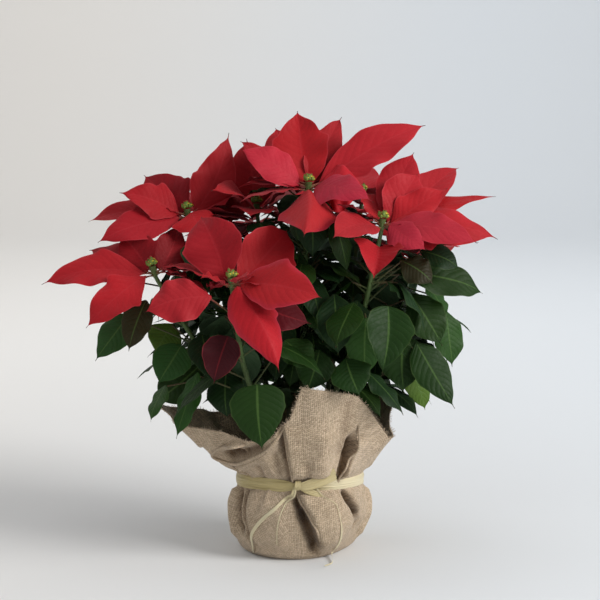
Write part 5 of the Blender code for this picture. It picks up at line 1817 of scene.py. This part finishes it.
def raffiaLines(surface):
    rng = random.Random(12)
    lines = []
    knotZ = raffiaMake["knotHeight"]
    steps = raffiaMake["steps"]
    for level, breadth, layer in raffiaMake["band"]:  # strands round the waist
        phase = rng.uniform(0, 6.28)
        line = []
        pale = []
        for k in range(steps + 1):
            a = math.radians(raffiaMake["start"] + 360 * k / steps)
            first = k < steps / 2
            near = math.exp(-((k / steps if first else 1 - k / steps) * 360 / 9) ** 2)
            z = wrapWaist(a) + level * (1 - 0.7 * near) + 0.9 * math.sin(2 * a + phase)
            r = raffiaMake["radius"] + layer * 0.8 + 0.25 * math.sin(5 * a + phase) + 3.2 * near
            line.append(Vector((r * math.cos(a), r * math.sin(a), z)))
            pale.append(min(max((k - 4) / 7 if first else (100 - k) / 20, 0), 1))
        widths = [breadth * (0.85 + 0.15 * math.sin(k * 0.31 + phase)) for k in range(steps + 1)]
        lines.append((line, widths, pale, None))
    ends = [  # points, breadths, strands, paleness from start to end
        ([(-4, -81.5, knotZ), (4, -83, knotZ + 2), (20, -81.5, knotZ + 8), (41, -77.5, knotZ + 17)],
         (4, 7, 7, 8), 2, (0.1, 0.35)),
        ([(-4, -81.5, knotZ), (6, -83.6, knotZ), (22, -82, knotZ + 4), (42, -77, knotZ + 12)],
         (4, 6, 7, 7), 2, (0.1, 0.3)),
        ([(-2, -82, knotZ), (8, -83, knotZ - 4), (20, -81, knotZ - 9), (27, -79, knotZ - 14)],
         (4, 5, 5, 3), 2, (0.1, 0.3)),
        ([(-6, -81, knotZ - 1), (-9, -83, knotZ - 10)]
         + tautOver(surface, [(-101, 78), (-105, 73), (-110, 65), (-118, 54), (-125, 41.5), (-129, 30),
                              (-133, 16), (-138, 4)], 1.3),
         (4.2, 4, 3.8, 3.8, 4.2, 4.6, 4.8, 4.4, 3.6, 2.4), 1, (0.3, 1.9)),
        ([(-5, -82, knotZ - 2), (-7, -84, knotZ - 12)]
         + tautOver(surface, [(-101, 73), (-103.5, 66), (-105.4, 58), (-107, 48), (-108, 38),
                              (-109, 21)], 1.1),
         (2.2, 1.8, 1.6, 1.4, 1.3, 1.2), 1, (0.6, 1.4)),
        ([(20, -81.5, knotZ - 3), (27, -81, knotZ - 12)]
         + tautOver(surface, [(-63, 72), (-60.5, 62), (-59, 52), (-57.8, 43), (-56.5, 34), (-55.5, 24),
                              (-54.8, 13), (-55, 5)], 1.3)
         + [(38, -84, 2), (29, -98, 1.6)],
         (2.0, 1.0, 0.8, 0.8, 1.6, 2.8, 3.2, 3.0, 2.2, 1.6), 1, (0.6, 1.6)),
    ]
    for spots, widths, strands, shades in ends:
        for k in range(strands):
            shift = Vector((0, -0.5 * k, -2.2 * k))
            moved = [Vector(p) + shift * min(1, j) for j, p in enumerate(spots)]
            line = smoothLine(moved, 12 * len(moved))
            at = np.linspace(0, len(widths) - 1, len(line))
            pale = np.clip(np.linspace(*shades, len(line)), 0, 1)
            lines.append((line, np.interp(at, np.arange(len(widths)), widths), pale, None))
    for k in range(raffiaMake["knotTurns"]):  # over the band
        x = -5.5 + k * 2.2 + rng.uniform(-0.3, 0.3)
        line = [Vector((x, -77.5, knotZ - 5.5)), Vector((x - 0.4, -81.5, knotZ - 5)),
                Vector((x + 0.3, -84.4, knotZ)), Vector((x + 0.8, -81.5, knotZ + 4.8)),
                Vector((x + 0.8, -77.5, knotZ + 5.5))]
        line = smoothLine(line, 24)
        lines.append((line, [raffiaMake["knotBreadth"]] * len(line), [0.2] * len(line), "knot"))
    return lines


def makeRaffia(tree, surface):
    lines = raffiaLines(surface)
    obj = polylines("raffiaTie", [line for line, widths, pale, kind in lines])
    outward = []
    breadth = []
    strand = []
    rng = random.Random(3)
    for line, widths, pale, kind in lines:
        number = rng.uniform(0, 20)
        for k, spot in enumerate(line):
            out = Vector((spot.x, spot.y, 0))
            if kind == "knot":
                out = Vector((0, -1, (spot.z - raffiaMake["knotHeight"]) * 0.12))
            outward.append(outFrom(wayAt(line, k), out))
            breadth.append(widths[k] * mm)
            strand.append(number)
    setPointValue(obj.data, "outward", "FLOAT_VECTOR", outward)
    setPointValue(obj.data, "breadth", "FLOAT", breadth)
    setPointValue(obj.data, "strand", "FLOAT", strand)
    setPointValue(obj.data, "pale", "FLOAT", [v for line in lines for v in line[2]])
    return runTree(obj, tree, {"Thin": raffiaMake["thin"]})


# Pale floor that curves up into a backdrop, outside the object

stageMake = {
    "width": 16.0, "front": -8.0, "back": 3.6, "bend": 2.0, "tall": 7.0,  # metres
    # painted light: a warm tint on the left of the backdrop and a cool one on the right
    "warmLightTint": (0.80, 0.775, 0.74), "coolLightTint": (0.74, 0.775, 0.81),
}


def makeStage():
    mat, tree, shader = newMaterial("studioPaint")
    where = onObject(tree)
    x = calc(tree, "ADD", apart(tree, where)[0], times(tree, cloud(tree, where, 0.8), 0.3))
    # painted light tint across the backdrop, from warm at the left to cool at the right
    wire(tree, shader.inputs["Base Color"],
         tone(tree, ease(tree, x, -0.9, 0.9), stageMake["warmLightTint"], stageMake["coolLightTint"]))
    shader.inputs["Roughness"].default_value = 0.7
    line = [(stageMake["front"], 0.0), (stageMake["back"], 0.0)]
    for k in range(1, 13):
        a = math.pi / 2 * k / 12
        line.append((stageMake["back"] + stageMake["bend"] * math.sin(a),
                     stageMake["bend"] * (1 - math.cos(a))))
    line.append((stageMake["back"] + stageMake["bend"], stageMake["tall"]))
    half = stageMake["width"] / 2
    points = [(side * half / mm, y / mm, z / mm) for y, z in line for side in (-1, 1)]
    faces = [(2 * k, 2 * k + 1, 2 * k + 3, 2 * k + 2) for k in range(len(line) - 1)]
    return newPiece("studioFloor", points, faces, mat)


# All is made and placed here

def stemShade(z):
    u = min(max((z - 110) / 120, 0), 1)
    return tuple(a + (b - a) * u for a, b in zip(stalkMake["stemLow"], stalkMake["stemHigh"]))


def makePlant(mottle):
    veins = makeVeins()
    bractMat = bladeFinish("bractSkin", bractLook, veins, mottle)
    leafMat = bladeFinish("leafSkin", leafLook, veins, mottle)
    sweep = makeStalkTree(stalkFinish(mottle))
    buds = makeBudTree(flowerFinish(mottle))
    kept = placeBlades()
    print("blades kept", len(kept))
    for number, name in enumerate(stems):
        path = stemPath(name, (0.25, 0.5, 0.75, 1.0))
        head, axis = headOf(name)
        stem, bloom = "stem_" + name, "bloom_" + name
        own = [blade for owner, blade in kept if owner == stem]
        green = [blade for blade in own if blade.tint not in redTints]
        red = [blade for blade in own if blade.tint in redTints]
        adopt(bladeMesh("leaves_" + name, green, "leaf", leafMat, 40 + number), "leaf_green", stem)
        if red:
            adopt(bladeMesh("upper_leaves_" + name, red, "bract", bractMat, 20 + number),
                  "bract_red", stem)
        rows = [(path, [g * 0.95 for g in stemRadii(path)], [stemShade(spot.z) for spot in path])]
        for blade in own:
            end = "redEnd" if blade.tint in redTints else "greenEnd"
            rows.append(petiole(blade, 1.0, stalkMake["foot"], stalkMake[end]))
        adopt(linesPiece("stalks_" + name, rows, sweep), "leaf_green", stem)
        own = [blade for owner, blade in kept if owner == bloom]
        adopt(bladeMesh("bracts_" + name, own, "bract", bractMat, 70 + number), "bract_red", bloom)
        core = [head + axis * plant["hubTall"] * u for u in (0, 0.35, 0.7, 1.0)]
        rows = [(core, [2.7, 3.0, 3.8, 4.4], [stalkMake["core"]] * 4)]
        rows += [petiole(blade, 0.85, stalkMake["bractFoot"], stalkMake["bractEnd"]) for blade in own]
        adopt(linesPiece("cores_" + name, rows, sweep), "bract_red", bloom)
        adopt(budPiece("cyathia_buds_" + name, head, axis, buds, 100 + number),
              "cyathia_yellow_green", "cyathia_" + name)


mottle = makeMottle()
makePlant(mottle)
print("plant made")
adopt(makePot(potFinish(mottle)), "pot_black_plastic", "pot")
soilMat = soilFinish(mottle)
soil = adopt(makeSoil(soilMat), "potting_soil", "potting_soil")
crumbs = makeCrumbTree(soilMat)
for bits, values in soilBits.items():
    adopt(runTree(onScene(bits, soil.data.copy()), crumbs, values), "potting_soil", "potting_soil")
print("pot and soil made")
burlap = burlapFinish(makeWeave(), mottle)
wrap, rim, rimNormal = makeWrap(burlap)
adopt(wrap, "burlap", "burlap_wrap")
surface = BVHTree.FromPolygons([v.co for v in wrap.data.vertices],
                               [tuple(p.vertices) for p in wrap.data.polygons])
hems = adopt(makeTucks(surface, burlap), "burlap", "burlap_wrap")
fringe = adopt(makeFringe(rim, rimNormal, makeFringeTree(threadFinish())), "burlap", "burlap_wrap")
adopt(makeRaffia(makeStrandTree(raffiaFinish(mottle)), surface), "raffia", "raffia_tie")
print("wrap and tie made")

makeStage()
addCamera()
addLight()
print("scene made")
